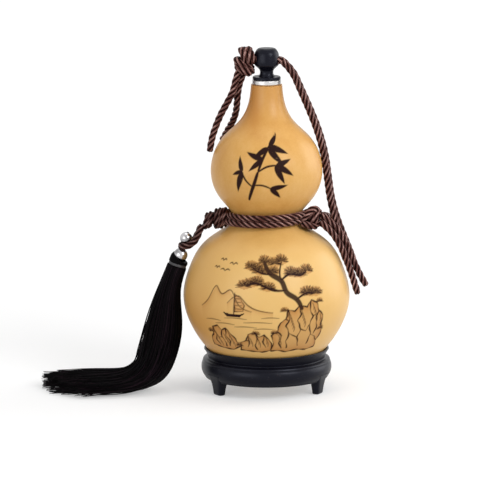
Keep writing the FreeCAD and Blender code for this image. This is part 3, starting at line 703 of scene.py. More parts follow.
gourd = {
    "outline": [
        (9.0, 12.4), (22.4, 16.0), (42.9, 35.6), (49.9, 57.9), (45.7, 75.8), (35.6, 90.9), (20.1, 105.4),
        (27.6, 116.5), (33.4, 133.0), (26.4, 153.1), (15.7, 163.9), (10.8, 174.4), (9.3, 185.2),
    ],
    "wall": 3.6,
    "lip": 8.9,
    "bore": 6.35,
    "boreFoot": 172.1,
    "neckRoot": 163.9,
    "waist": 105.0,
    "innerPole": 5.0,  # the inside stops at this radius and closes to a pole
    "innerRows": 36,
    "samples": 3000,
    "fine": 0.44,  # this and the next are spacings of points
    "coarse": 1.9,
    "decorated": [(29.0, 92.0), (119.0, 157.5)],  # heights
    "decoratedTurn": 54.0,  # degrees to each side of the front
    "coarseTurn": 4.0,
    "sharp": 50,
}


def gourdRows():
    # outline points whose spacing is fine in the decorated bands and coarse elsewhere
    line = splineThrough(gourd["outline"], np.linspace(0, 1, gourd["samples"]))
    fine = np.zeros(len(line), bool)
    for low, high in gourd["decorated"]:
        fine |= (line[:, 1] > low) & (line[:, 1] < high)
    density = np.where(fine, 1 / gourd["fine"], 1 / gourd["coarse"])
    steps = np.diff(reachAlong(line)) * (density[1:] + density[:-1]) / 2
    count = np.concatenate([[0], np.cumsum(steps)])
    return readAlong(np.linspace(0, count[-1], int(count[-1]) + 1), count, line)


def innerRows():
    # the outline read downwards and set in by the wall, without the neck and the pole
    rows = splineThrough(gourd["outline"], np.linspace(1, 0, gourd["innerRows"]))
    way = unit(np.gradient(rows, axis=0))
    rows = rows - np.stack([-way[:, 1], way[:, 0]], -1) * gourd["wall"]
    return rows[(rows[:, 1] < gourd["neckRoot"]) & (rows[:, 0] > gourd["innerPole"])]


def gourdTurns():
    # angles from the front, fine across the decorated part
    half = gourd["decoratedTurn"]
    widest = max(radius for radius, height in gourd["outline"])
    front = np.linspace(-half, half, int(2 * half / math.degrees(gourd["fine"] / widest)))
    count = int((360 - 2 * half) / gourd["coarseTurn"])
    back = np.linspace(half, 360 - half, count + 1)[1:-1]
    return np.radians(np.concatenate([front, back]))


outerRows = gourdRows()
mouthHeight = gourd["outline"][-1][1]
mouthRows = [(gourd["lip"], mouthHeight), (gourd["bore"], mouthHeight), (gourd["bore"], gourd["boreFoot"])]
turnsFromFront = gourdTurns()
gourdPoints = turnedPoints(np.concatenate([outerRows, mouthRows, innerRows()]), turnsFromFront - math.pi / 2)


# Decoration: brush strokes as widening discs along smooth paths, washes as shaded patches.
# Places are millimetres round the bulb from the front, and millimetres of height.

brush = {
    "soft": 0.42,  # width of a stroke's soft edge
    "step": 0.20,  # spacing of its discs
    "leastSteps": 6,
    "thinEnd": 0.35,  # a line's width at its ends, as a share
    "endShare": 0.02,
    "leafStep": 0.25,
    "leafTip": 0.12,
    "leafPowers": (0.62, 0.85),  # the first sets where a leaf is widest, the second how full it is
    "edgeSteps": 10,  # points along each side of a patch, and along a ridge
    "ridgeSteps": 80,
    "waver": 0.22,  # how far a straight run wavers, and how often
    "waverPace": 1.1,
    "swell": 0.28,  # how much a straight run thins, and how often
    "swellPace": 0.75,
}
bulbRound = {"upper": 33.0, "lower": 49.0}
artRound = np.where(outerRows[:, 1] > gourd["waist"], bulbRound["upper"], bulbRound["lower"])
artTurn = np.where(turnsFromFront > math.pi, turnsFromFront - fullTurn, turnsFromFront)
artFront = np.abs(np.tile(artTurn, len(outerRows))) < math.radians(gourd["decoratedTurn"])
artNear = np.flatnonzero(artFront)
artPlace = np.stack(np.broadcast_arrays(artRound[:, None] * artTurn, outerRows[:, 1:]), -1).reshape(-1, 2)
artPlace = artPlace[artNear]
ink = np.zeros(len(artNear))
wash = np.zeros(len(artNear))


def paintStroke(path, half, strength=1.0):
    # cover = how deep a place lies in the nearest disc of the stroke
    room = half.max() + brush["soft"]
    near = np.flatnonzero(np.all((artPlace > path.min(0) - room) & (artPlace < path.max(0) + room), -1))
    if len(near) == 0:
        return
    gap = np.linalg.norm(artPlace[near][:, None] - path[None], axis=-1) - half[None]
    cover = np.clip(0.5 - gap.min(1) / brush["soft"], 0, 1) * strength
    ink[near] = np.maximum(ink[near], cover)


def brushLine(points, width, strength=1.0, taper=0.5):
    # a smooth line through chosen places that thins towards both ends
    length = reachAlong(np.array(points, float))[-1]
    share = np.linspace(0, 1, int(length / brush["step"]) + brush["leastSteps"])
    swell = np.sin(np.pi * np.clip(share, brush["endShare"], 1 - brush["endShare"])) ** taper
    half = width / 2 * (brush["thinEnd"] + (1 - brush["thinEnd"]) * swell)
    paintStroke(splineThrough(points, share), half, strength)


def crackLine(points, width):
    # straight runs between chosen places, swelling and thinning as a loaded brush does
    points = np.array(points, float)
    reach = reachAlong(points)
    at = np.arange(0, reach[-1], brush["step"])
    path = readAlong(at, reach, points)
    path[:, 0] += brush["waver"] * np.sin(at * brush["waverPace"] + points[0, 0])
    swell = 1 - brush["swell"] + brush["swell"] * np.sin(at * brush["swellPace"] + points[0, 1])
    paintStroke(path, width / 2 * swell)


def brushLeaf(base, turn, length, width, bend):
    # a leaf: widest a third of the way along, pointed at its tip, its path bent sideways by the square
    share = np.linspace(0, 1, int(length / brush["leafStep"]))
    way = np.array([math.cos(math.radians(turn)), math.sin(math.radians(turn))])
    path = np.array(base) + share[:, None] * length * way
    path = path + (share ** 2)[:, None] * bend * np.array([-way[1], way[0]])
    widest, full = brush["leafPowers"]
    half = width / 2 * np.sin(np.pi * share ** widest) ** full
    paintStroke(path, np.maximum(half, brush["leafTip"]))


def shadePatch(outline, strength, fade, floor, field=wash, ridge=None):
    # inside a closed outline, dark at its edge, or along a ridge, and fading to a floor over the given depth
    corners = np.array(outline + outline[:1], float)
    sides = zip(corners[:-1], corners[1:])
    edge = np.concatenate([np.linspace(*ends, brush["edgeSteps"]) for ends in sides])
    near = np.flatnonzero(np.all((artPlace > edge.min(0)) & (artPlace < edge.max(0)), -1))
    place = artPlace[near]
    start, end = edge[:-1], edge[1:]
    # a place is inside where a level line from it crosses the outline an odd number of times
    spans = (start[:, 1] > place[:, 1:]) != (end[:, 1] > place[:, 1:])
    rise = np.where(end[:, 1] == start[:, 1], 1e-9, end[:, 1] - start[:, 1])
    cross = start[:, 0] + (place[:, 1:] - start[:, 1]) / rise * (end[:, 0] - start[:, 0])
    inside = np.sum(spans & (place[:, :1] < cross), 1) % 2 == 1
    border = edge if ridge is None else splineThrough(ridge, np.linspace(0, 1, brush["ridgeSteps"]))
    depth = np.linalg.norm(place[inside][:, None] - border[None], axis=-1).min(1)
    shade = strength * (floor + (1 - floor) * np.exp(-depth / fade))
    field[near[inside]] = np.maximum(field[near[inside]], shade)


# Upper bulb: a sprig of bamboo
sprig = {
    "stems": [  # places and width
        ([(-11.5, 120.5), (-8.0, 129.0), (-5.4, 137.0)], 2.1),
        ([(-5.0, 138.2), (-2.4, 145.5), (1.8, 152.5)], 1.8),
        ([(-5.0, 137.6), (0.0, 140.6), (6.0, 141.4)], 1.2),
        ([(-8.4, 128.4), (-12.8, 132.6), (-15.4, 138.0)], 1.1),
        ([(-8.0, 129.4), (-3.0, 129.6), (2.4, 127.6)], 1.1),
    ],
    "stemTaper": 0.25,
    "leaves": [  # base, turn, length, width and bend
        ((1.8, 152.5), 38, 9.5, 3.2, 0.8), ((1.6, 152.0), -12, 13.5, 3.8, -1.6),
        ((1.2, 151.6), -52, 13.5, 4.1, 1.2), ((0.6, 151.0), 205, 11.0, 3.4, 1.2),
        ((6.0, 141.4), 16, 10.0, 3.2, 0.6), ((6.0, 141.2), -26, 12.0, 3.8, -1.2),
        ((5.4, 141.0), -66, 12.0, 3.7, 0.6), ((-15.2, 137.6), 112, 9.0, 3.0, -0.8),
        ((-15.4, 137.4), 196, 6.5, 2.5, 0.6), ((-15.0, 137.0), 250, 12.5, 3.7, 1.0),
        ((2.4, 127.6), 6, 10.5, 3.1, 0.8), ((2.4, 127.4), -38, 8.5, 3.1, -0.6),
        ((-2.6, 145.0), 168, 11.5, 3.4, -1.4), ((-2.8, 144.4), 214, 10.5, 3.2, 1.0),
    ],
}
for stemPoints, stemWidth in sprig["stems"]:
    brushLine(stemPoints, stemWidth, taper=sprig["stemTaper"])
for leaf in sprig["leaves"]:
    brushLeaf(*leaf)

# Lower bulb: a pine on a crag, low rocks, far hills, still water, a boat and birds
landscape = {
    "rocks": [
        [(3.0, 31.0), (4.5, 37.0), (2.8, 41.5), (6.5, 44.0), (8.0, 49.5), (11.5, 52.0), (12.5, 57.5),
         (17.0, 56.5), (19.5, 60.0), (24.5, 58.5), (27.5, 62.5), (31.5, 60.5), (33.0, 55.5), (36.5, 52.5),
         (35.8, 46.5), (38.0, 41.5), (36.0, 36.0), (37.0, 32.0), (30.0, 30.6), (22.0, 31.4), (14.0, 30.2),
         (8.0, 31.4)],
        [(-19.0, 31.4), (-17.5, 36.5), (-13.5, 38.0), (-12.0, 42.0), (-7.5, 43.5), (-5.0, 40.5), (-1.5, 42.0),
         (1.5, 38.5), (3.4, 36.5), (3.0, 31.5), (-3.0, 30.2), (-12.0, 30.8)],
        [(-41.5, 33.0), (-40.5, 38.0), (-37.5, 40.0), (-36.5, 45.0), (-32.0, 46.5), (-30.0, 43.5),
         (-26.5, 45.0), (-23.5, 41.5), (-21.0, 38.5), (-19.0, 33.5), (-25.0, 31.0), (-34.0, 31.6)],
    ],
    "clefts": [
        [(12.5, 57.5), (13.8, 52.0), (11.8, 47.5), (14.2, 42.5), (12.8, 37.5), (14.0, 33.0)],
        [(19.5, 60.0), (20.8, 54.5), (18.8, 50.5), (21.5, 45.0), (20.0, 39.5), (22.0, 34.0)],
        [(27.5, 62.5), (26.5, 57.0), (28.8, 52.5), (27.0, 47.0), (29.5, 41.0), (28.5, 35.0)],
        [(33.0, 55.5), (31.2, 51.0), (32.8, 46.0), (31.8, 41.0)],
        [(6.5, 44.0), (9.5, 41.5), (8.2, 36.5), (10.0, 33.0)],
        [(-12.0, 42.0), (-11.5, 37.5), (-13.0, 33.5)],
        [(-7.5, 43.5), (-6.0, 39.0), (-8.0, 35.0), (-6.5, 32.0)],
        [(-1.5, 42.0), (-2.5, 37.5), (-0.8, 33.5)],
        [(-36.5, 45.0), (-35.0, 40.5), (-36.5, 36.5), (-35.0, 33.5)],
        [(-30.0, 43.5), (-31.0, 39.0), (-29.0, 35.0), (-30.0, 33.0)],
        [(-26.5, 45.0), (-27.5, 40.5), (-25.5, 36.5), (-26.5, 33.5)],
    ],
    "ledges": [
        [(21.5, 45.0), (25.0, 43.5), (27.0, 47.0)], [(14.2, 42.5), (17.5, 41.0), (20.0, 39.5)],
        [(11.5, 52.0), (13.4, 50.4)], [(28.8, 52.5), (31.0, 53.4), (33.0, 55.5)],
        [(29.5, 41.0), (33.5, 39.0), (36.0, 36.0)], [(-35.0, 40.5), (-33.0, 38.6), (-31.0, 39.0)],
        [(-13.5, 38.0), (-11.6, 37.5)],
    ],
    "hatches": 5,  # beside each cleft, each one a step on from the last
    "hatchStep": (0.75, -1.9),
    "hatchShape": [(0.0, 0.0), (0.9, -1.7), (0.7, -4.4)],
    "hatchFoot": 32.4,
    "trunk": [(21.0, 58.0), (17.5, 64.0), (12.0, 68.0), (9.5, 74.0), (2.5, 78.5), (-1.5, 84.5)],
    "branches": [  # places and width
        ([(11.5, 69.0), (3.0, 69.5), (-6.5, 73.0), (-13.0, 71.5)], 1.5),
        ([(9.0, 74.6), (15.5, 78.0), (22.5, 77.0), (27.0, 79.0)], 1.4),
        ([(3.0, 78.2), (-4.0, 79.0), (-10.0, 82.0)], 1.2),
        ([(18.0, 63.4), (24.5, 66.5), (30.5, 66.0)], 1.3),
        ([(9.6, 73.0), (8.5, 79.0), (10.5, 85.0)], 1.1),
    ],
    "branchTaper": 0.3,
    "tufts": [
        (-1.5, 85.0), (-10.5, 82.0), (-6.0, 73.6), (-14.0, 71.4), (10.6, 85.4), (16.0, 78.6), (22.5, 77.6),
        (28.0, 79.2), (25.0, 67.2), (31.5, 66.2), (3.8, 79.4), (-4.2, 79.6), (0.8, 70.4), (-10.0, 72.6),
        (19.4, 77.8), (5.6, 84.0), (28.4, 66.4), (-6.8, 81.0),
    ],
    "tuftNeedles": (17, 5.4),  # count and length
    "bushes": [
        (5.0, 43.0), (36.0, 44.0), (-19.0, 34.5), (-38.5, 42.0), (33.5, 61.0), (-7.0, 42.4), (10.4, 57.0),
    ],
    "bushNeedles": (9, 2.8),
    "fan": (-14, 194),
    "fanJitter": 5,
    "needleFlat": 0.72,
    "needleReach": (0.75, 1.1),
    "needleMiddle": 0.55,
    "tuftShade": (0.9, 0.56, 0.9),  # half sizes as shares of a needle, and the rise of the dark patch
    "tuftCorners": 8,
    "hills": [
        [(-43.0, 57.5), (-37.5, 62.5), (-32.5, 70.0), (-28.0, 66.0), (-23.5, 68.5), (-17.0, 60.5),
         (-9.0, 56.5)],
        [(-24.0, 61.0), (-17.0, 65.5), (-12.5, 61.5), (-5.5, 57.5), (3.5, 56.0)],
    ],
    "hillDepth": 9.0,
    "water": [  # start, end and height
        (-40.0, -29.0, 49.6), (-33.0, -20.0, 47.8), (-20.0, -6.0, 46.4), (-14.0, 3.0, 49.4),
        (-8.0, 4.5, 45.4), (-26.0, -12.0, 51.6), (-3.0, 7.5, 52.4),
    ],
    "ripple": 0.5,
    "hull": [(-26.8, 55.4), (-24.6, 52.8), (-16.4, 52.6), (-12.6, 55.6), (-16.0, 54.6), (-22.0, 54.4)],
    "mast": [(-19.8, 54.0), (-19.6, 60.0), (-19.6, 67.0)],
    "sail": [(-19.2, 56.0), (-19.3, 66.2), (-15.6, 64.4), (-13.4, 60.0), (-13.8, 56.6)],
    "battens": 4,
    "battenRise": 2.0,
    "battenShape": [(0.0, 0.0), (2.6, -0.2), (5.2, -0.1)],
    "battenShorter": 0.35,
    "birds": [  # place and span
        (-29.0, 79.0, 3.6), (-23.6, 82.8, 3.0), (-32.5, 84.4, 2.6), (-36.0, 80.0, 2.2),
    ],
    "wingShape": [(0.0, 0.0), (0.5, 1.1), (1.0, 0.5)],  # shares of the span, and rise
}
# width of each kind of line, then its strength and taper where they aren't the usual ones
pens = {
    "rock": (1.0,), "cleft": (1.05,), "hatch": (0.50, 0.9), "ledge": (0.75,), "trunk": (3.2, 0.95, 0.15),
    "needle": (0.54,), "hill": (0.66, 0.9, 0.4), "water": (0.52, 0.85), "sail": (0.6,),
    "mast": (0.7, 1.0, 0.1), "batten": (0.48, 0.9), "wing": (0.7,),
}
# strength of each kind of wash, the depth over which it fades, and the share that stays
washes = {
    "rock": (1.0, 3.6, 0.42), "tuft": (0.75, 3.0, 0.6), "hill": (0.6, 2.4, 0.0), "hull": (1.0, 9.0, 1.0),
    "sail": (1.0, 2.2, 0.35),
}


def paintRocks():
    for rock in landscape["rocks"]:
        shadePatch(rock, *washes["rock"])
        crackLine(rock + rock[:1], *pens["rock"])
    for cleft in landscape["clefts"]:
        crackLine(cleft, *pens["cleft"])
        for hatch in range(1, landscape["hatches"] + 1):
            top = np.array(cleft[0]) + np.array(landscape["hatchStep"]) * hatch
            path = top + np.array(landscape["hatchShape"])
            if path[-1, 1] > landscape["hatchFoot"]:
                brushLine(path, *pens["hatch"])
    for ledge in landscape["ledges"]:
        crackLine(ledge, *pens["ledge"])


def needleFan(across, height, count, length):
    # needles spread over half a turn from one place, flattened, over a soft dark patch
    jitter = landscape["fanJitter"]
    fan = np.linspace(*landscape["fan"], count) + draw.uniform(-jitter, jitter, count)
    middle = np.array([across, height])
    for turn in np.radians(fan):
        reach = length * draw.uniform(*landscape["needleReach"])
        tip = np.array([math.cos(turn), landscape["needleFlat"] * math.sin(turn)]) * reach
        brushLine([middle, middle + tip * landscape["needleMiddle"], middle + tip], *pens["needle"])
    wide, tall, rise = landscape["tuftShade"]
    ring = roundSteps(landscape["tuftCorners"])
    oval = np.stack([wide * np.cos(ring), tall * np.sin(ring)], -1) * length
    shadePatch((oval + middle + (0, rise)).tolist(), *washes["tuft"])


def paintPine():
    brushLine(landscape["trunk"], *pens["trunk"])
    for points, width in landscape["branches"]:
        brushLine(points, width, taper=landscape["branchTaper"])
    for place in landscape["tufts"]:
        needleFan(*place, *landscape["tuftNeedles"])
    for place in landscape["bushes"]:
        needleFan(*place, *landscape["bushNeedles"])


def paintDistance():
    for hill in landscape["hills"]:
        brushLine(hill, *pens["hill"])
        under = [(across, height - landscape["hillDepth"]) for across, height in hill[::-1]]
        shadePatch(hill + under, *washes["hill"], ridge=hill)
    for start, end, height in landscape["water"]:
        middle = ((start + end) / 2, height + landscape["ripple"])
        brushLine([(start, height), middle, (end, height)], *pens["water"])
    for across, height, span in landscape["birds"]:
        for wing in (-1, 1):
            brushLine(np.array(landscape["wingShape"]) * (wing * span, 1) + (across, height), *pens["wing"])


def paintBoat():
    sail = landscape["sail"]
    shadePatch(landscape["hull"], *washes["hull"], field=ink)
    shadePatch(sail, *washes["sail"])
    crackLine(sail + sail[:1], *pens["sail"])
    brushLine(landscape["mast"], *pens["mast"])
    for batten in range(1, landscape["battens"] + 1):
        path = np.array(landscape["battenShape"]) + sail[0] + (0, landscape["battenRise"] * batten)
        path[-1, 0] -= landscape["battenShorter"] * batten
        brushLine(path, *pens["batten"])


paintRocks()
paintPine()
paintDistance()
paintBoat()
print("decoration painted", int(np.sum(ink > 0.5)), "inked places")

rindColour = {
    "dark": rgb(0.610, 0.282, 0.056),
    "middle": rgb(0.724, 0.392, 0.106),
    "light": rgb(0.805, 0.488, 0.178),
    "lower": rgb(0.780, 0.510, 0.185),
    # deeper orange, for the neck's tone and for painted shade
    "deep": rgb(0.54, 0.205, 0.036),
    "wash": rgb(0.44, 0.170, 0.030),
    "ink": rgb(0.020, 0.0060, 0.0046),
}


rindPattern = {
    "specular": 0.08,
    "coatRoughness": 0.36,
    "coatIor": 1.5,
    "coat": (0.46, 0.32, 0.95),  # the most, how much less where it is dull, and the share that ink takes off
    "roughness": (0.40, 0.10, 0.18),  # the least, and what mottle and ink add
    "bump": (0.00022, 0.7),  # distance and strength
    "bumpShares": (0.8, 0.12, 0.35),  # of mottle, freckles and ink
    "mottle": 26.0,  # this and the next three are scales
    "streaks": 120.0,
    "freckles": 900.0,
    "breaks": 420.0,
    "streakStretch": (1.0, 1.0, 0.16),
    "toneShares": (0.62, 0.24, 0.14),  # of mottle, streaks and freckles
    "pale": 0.72,
    "paleHeight": (0.080, 0.112),  # this and the like are metres of height, or to the left
    "waistHeight": 0.1054,
    "waistSpan": (0.002, 0.010),
    "footHeight": (0.022, 0.060),
    "neckHeight": (0.156, 0.180),
    "leftSpan": (0.004, 0.050),
    "leftHeight": (0.034, 0.078),
    "leftFade": 0.6,
    "neckLeftSpan": (-0.004, 0.009),
    "neckLeftHeight": (0.150, 0.174),
    "deepShares": (0.12, 0.12, 0.5, 0.86, 1.0),  # at the waist, foot, neck, left and left of the neck; all but the neck are painted shade
    "deep": 0.75,
    "wash": (0.50, 0.65),  # the least, and what the mottle adds
    "inkBreaks": (0.62, 0.86),
    "inkWorn": 0.55,
    "dullSpan": (0.010, 0.046),
    "dullHeight": (0.086, 0.110),
}


def gourdFinish():
    look = rindPattern
    finish, wire, shader = startFinish("waxedRind", {
        "Specular IOR Level": look["specular"], "Coat Roughness": look["coatRoughness"],
        "Coat IOR": look["coatIor"],
    })
    place = objectPlace(wire)
    mottle = noise(wire, place, look["mottle"], 4.0, 0.6)
    streak = noise(wire, objectPlace(wire, look["streakStretch"]), look["streaks"], 4.0, 0.6)
    freckle = noise(wire, place, look["freckles"], 2.0, 0.5)
    height = oneAxis(wire, place, "Z")
    left = 0.0 - oneAxis(wire, place, "X")
    mottleShare, streakShare, freckleShare = look["toneShares"]
    tone = mottle * mottleShare + streak * streakShare + freckle * freckleShare
    stops = {0.30: rindColour["dark"], 0.50: rindColour["middle"], 0.72: rindColour["light"]}
    colour = rampColour(wire, tone, stops)
    # paler on the lower bulb and deeper orange up the neck; painted shade as deeper orange in the waist
    # crease, at the foot by the stand, on the left side and on the left of the neck
    pale = (1.0 - height.ramp(*look["paleHeight"])) * look["pale"]
    colour = blendColour(wire, colour, rindColour["lower"], pale)
    places = [
        1.0 - wire.maths("ABSOLUTE", height - look["waistHeight"]).ramp(*look["waistSpan"]),
        1.0 - height.ramp(*look["footHeight"]),
        height.ramp(*look["neckHeight"]),
        left.ramp(*look["leftSpan"]) * (1.0 - height.ramp(*look["leftHeight"]) * look["leftFade"]),
        left.ramp(*look["neckLeftSpan"]) * height.ramp(*look["neckLeftHeight"]),
    ]
    deep = places[0] * look["deepShares"][0]
    for deeper, share in zip(places[1:], look["deepShares"][1:]):
        deep = deep.most(deeper * share)
    colour = blendColour(wire, colour, rindColour["deep"], deep * look["deep"])
    # the decoration, with the ink worn through in places
    washLeast, washAdded = look["wash"]
    washed = ownTone(wire, "wash") * (washLeast + mottle * washAdded)
    colour = blendColour(wire, colour, rindColour["wash"], washed)
    breaks = noise(wire, place, look["breaks"], 3.0, 0.7)
    line = ownTone(wire, "ink") * (1.0 - breaks.ramp(*look["inkBreaks"]) * look["inkWorn"])
    colour = blendColour(wire, colour, rindColour["ink"], line)
    colour.feed(shader, "Base Color")
    least, mottleAdded, inkAdded = look["roughness"]
    (least + mottle * mottleAdded + line * inkAdded).feed(shader, "Roughness")
    # the polish is thinner on the left of the lower bulb and nearly gone from the ink
    dull = left.ramp(*look["dullSpan"]) * (1.0 - height.ramp(*look["dullHeight"]))
    most, dullLess, inkLess = look["coat"]
    ((most - dull * dullLess) * (1.0 - line * inkLess)).feed(shader, "Coat Weight")
    mottleBump, freckleBump, inkBump = look["bumpShares"]
    bumpOn(wire, shader, mottle * mottleBump + freckle * freckleBump - line * inkBump, *look["bump"])
    return finish


gourdFoot = gourd["outline"][0][1]
rindPoints, rindFaces = closedGrid(gourdPoints, (0, 0, gourdFoot), (0, 0, gourdFoot + gourd["wall"]))
rindTones = {"ink": np.zeros(len(rindPoints)), "wash": np.zeros(len(rindPoints))}
rindTones["ink"][artNear] = ink
rindTones["wash"][artNear] = wash
addPiece("gourd_rind", rindPoints * mm, rindFaces, gourdFinish(), "gourd_rind", "gourd", ["gourd_shell"],
         tones=rindTones, sharp=gourd["sharp"])
print("gourd turned", len(rindFaces), "faces")


# Stand: a turned ring with a bead line and a flared rim, on three tapered feet

lacquerPattern = {
    "specular": 0.17,
    "sheen": rgb(0.80, 0.84, 1.0),
    "grain": 130.0,  # this and the next two are scales
    "clouds": 45.0,
    "specks": 1300.0,
    "grainStretch": (1.0, 1.0, 6.0),
    "speckEdge": (0.70, 0.80),
    "speckColour": rgb(0.22, 0.21, 0.21),
    "paler": 2.0,
    "roughness": (0.14, 0.3),  # what clouds and specks add
    "bump": (0.00012, 0.5),  # distance and strength
}


def lacquerFinish(name, base, rough, scuffs):
    look = lacquerPattern
    finish, wire, shader = startFinish(name, {
        "Specular IOR Level": look["specular"], "Specular Tint": look["sheen"],
    })
    place = objectPlace(wire)
    grain = noise(wire, objectPlace(wire, look["grainStretch"]), look["grain"], 4.0, 0.6)
    cloud = noise(wire, place, look["clouds"], 3.0, 0.55)
    speck = noise(wire, place, look["specks"], 2.0, 0.5).ramp(*look["speckEdge"]) * scuffs
    tone = grain * 0.5 + cloud * 0.5
    colour = blendColour(wire, base, times(look["paler"], base), wire.maths("MINIMUM", tone, 1.0))
    colour = blendColour(wire, colour, look["speckColour"], speck)
    colour.feed(shader, "Base Color")
    cloudAdded, speckAdded = look["roughness"]
    (rough + cloud * cloudAdded + speck * speckAdded).feed(shader, "Roughness")
    bumpOn(wire, shader, tone, *look["bump"])
    return finish


lacquer = lacquerFinish("satinBlackLacquer", rgb(0.0024, 0.0023, 0.0044), 0.26, 0.5)
stand = {
    "bore": [(27.4, 17.9, 0.0), (27.4, 8.0, 0.6), (36.8, 8.0, 0.7), (37.2, 9.0, 0.0)],
    "belly": ((36.9, 8.6), (38.6, 17.2), 8.0, 1),
    "bead": [(38.6, 17.2, 0.0), (38.1, 17.75, 0.2), (38.35, 18.3, 0.25), (38.0, 19.1, 0.3), (36.9, 19.6, 0.3),
             (35.2, 19.75, 0.5), (35.3, 21.0, 0.0)],
    "flare": ((35.35, 20.6), (37.55, 25.1), 14.0, -1),
    "rim": [(37.2, 24.0, 0.0), (37.6, 25.9, 0.45), (36.3, 25.9, 0.4), (27.4, 17.9, 0.4), (27.4, 10.0, 0.0)],
    "columns": 180,
    "sharp": 40,
}
standLine = np.concatenate([
    softStretch(stand["bore"]), arcLine(*stand["belly"]), softStretch(stand["bead"]),
    arcLine(*stand["flare"]), softStretch(stand["rim"]),
])
turnedRing("stand_ring_turned", standLine, stand["columns"], finish=lacquer, slot="black_lacquer",
           body="stand", nodes=["stand_ring"], sharp=stand["sharp"])

foot = {
    "turns": {"stand_foot_right": -26.0, "stand_foot_back": 94.0, "stand_foot_left": 214.0},
    "height": 12.0,
    "top": (29.4, 39.0, 7.4),  # near side, far side and half width, from the stand's axis
    "sole": (31.9, 36.3, 3.7),
    "flare": (0.42, 3.2),  # the straight share of the flare, and the power of the rest
    "square": 4.5,
    "edge": 0.9,
    "edgeRows": 6,
    "rows": 12,
    "columns": 48,
    "sharp": 50,
}


def footPoints(turn):
    # superellipse sections from the sole up, flaring towards the skirt, turned to their place
    edge = foot["edge"]
    rise = np.concatenate([edge * (1 - np.cos(np.linspace(0, math.pi / 2, foot["edgeRows"]))),
                           np.linspace(edge, foot["height"], foot["rows"])[1:]])
    share = rise / foot["height"]
    straight, power = foot["flare"]
    flare = straight * share + (1 - straight) * share ** power
    inset = edge * (1 - np.sqrt(1 - (1 - rise / edge).clip(0, 1) ** 2))
    near, far, half = (low + (high - low) * flare for low, high in zip(foot["sole"], foot["top"]))
    near, far, half = near + inset, far - inset, half - inset
    angle = roundSteps(foot["columns"])
    circle = np.stack([np.cos(angle), np.sin(angle)])
    wide, deep = np.sign(circle) * np.abs(circle) ** (2 / foot["square"])
    out = ((near + far) / 2)[:, None] + ((far - near) / 2)[:, None] * wide
    side = half[:, None] * deep
    cosine, sine = math.cos(math.radians(turn)), math.sin(math.radians(turn))
    height = np.repeat(rise[:, None], len(angle), 1)
    return np.stack([out * cosine - side * sine, out * sine + side * cosine, height], -1)


for footName, footTurn in foot["turns"].items():
    footGrid = footPoints(footTurn) * mm
    footAll, footFaces = closedGrid(footGrid, footGrid[0].mean(0), footGrid[-1].mean(0))
    addPiece(f"{footName}_carved", footAll, footFaces, lacquer, "black_lacquer", "stand", [footName],
             sharp=foot["sharp"])
print("stand turned")


# Mouth collar, stopper and seals

metalPattern = {
    "smears": 160.0,
    "smearEdge": (0.3, 0.6),
    "smearRoughness": 0.8,
    "bumpShares": (0.3, 0.3),  # of turned lines and smears
    "bump": (0.00002, 0.4),  # distance and strength
}


def metalFinish(name, base, rough, lines, tarnishAndReflection=0.86):
    look = metalPattern
    finish, wire, shader = startFinish(name, {"Metallic": 1.0})
    place = objectPlace(wire)
    smear = noise(wire, place, look["smears"], 3.0, 0.6)
    turned = (oneAxis(wire, place, "Z") * lines).sine() * 0.5 + 0.5
    # darker smear patches: tarnish, and on the beads, where they are far darker, also a painted dark
    # reflection
    colour = blendColour(wire, times(tarnishAndReflection, base), base, smear.ramp(*look["smearEdge"]))
    colour.feed(shader, "Base Color")
    (rough + smear * rough * look["smearRoughness"]).feed(shader, "Roughness")
    lineBump, smearBump = look["bumpShares"]
    bumpOn(wire, shader, turned * lineBump + smear * smearBump, *look["bump"])
    return finish


collar = {
    "corners": [
        (5.5, 188.3, 0.25), (5.5, 172.2, 0.1), (6.3, 172.2, 0.1), (6.3, 185.25, 0.0), (8.35, 185.25, 0.3),
        (8.7, 186.0, 0.4), (8.7, 187.9, 0.45), (8.2, 188.3, 0.2),
    ],
    "columns": 120,
    "sharp": 40,
    "finish": metalFinish("brightCollar", rgb(0.62, 0.61, 0.60), 0.24, 9000.0),
}
turnedRing("mouth_collar_turned", softLine(collar["corners"]), collar["columns"], finish=collar["finish"],
           slot="bright_metal", body="gourd", nodes=["mouth_collar"], sharp=collar["sharp"])

stopper = {
    "plug": (5.2, 174.3, 1.0),  # radius, foot and the cut of its edge
    "plugRound": 0.3,
    "grooves": (179.3, 184.3),
    "grooveHalf": 0.85,
    "grooveFloor": 4.0,
    "grooveRounds": (0.12, 0.1),  # outside and inside
    "flange": (8.4, 188.3, 190.1),  # radius, underside and top
    "flangeRounds": (0.35, 0.6),
    "knob": [
        (4.9, 190.3), (4.3, 191.1), (4.0, 192.3), (4.15, 193.7), (5.0, 194.9), (6.2, 196.0), (7.2, 197.1),
        (7.6, 198.4), (7.6, 200.0), (7.4, 202.2), (7.1, 204.0), (6.75, 204.9), (6.1, 205.9), (5.5, 206.6),
        (4.9, 206.95), (3.6, 207.15), (1.4, 207.2),
    ],
    "knobRows": 48,
    "columns": 120,
    "sharp": 45,
    "finish": lacquerFinish("satinBlackKnob", rgb(0.0032, 0.0031, 0.0058), 0.24, 0.25),
}


def stopperLine():
    # plug with its two grooves, flange with round edges, then the knob's smooth outline
    radius, low, edge = stopper["plug"]
    half, floor = stopper["grooveHalf"], stopper["grooveFloor"]
    outer, inner = stopper["grooveRounds"]
    wide, under, top = stopper["flange"]
    underRound, topRound = stopper["flangeRounds"]
    corners = [(radius - edge, low, 0.0), (radius, low + edge, stopper["plugRound"])]
    for middle in stopper["grooves"]:
        corners += [(radius, middle - half, outer), (floor, middle - half, inner),
                    (floor, middle + half, inner), (radius, middle + half, outer)]
    corners += [(radius, under, 0.0), (wide, under, underRound), (wide, top, topRound)]
    corners += [(stopper["knob"][0][0], top, 0.0)]
    knob = splineThrough(stopper["knob"], np.linspace(0, 1, stopper["knobRows"]))
    return np.concatenate([softLine(corners), knob])


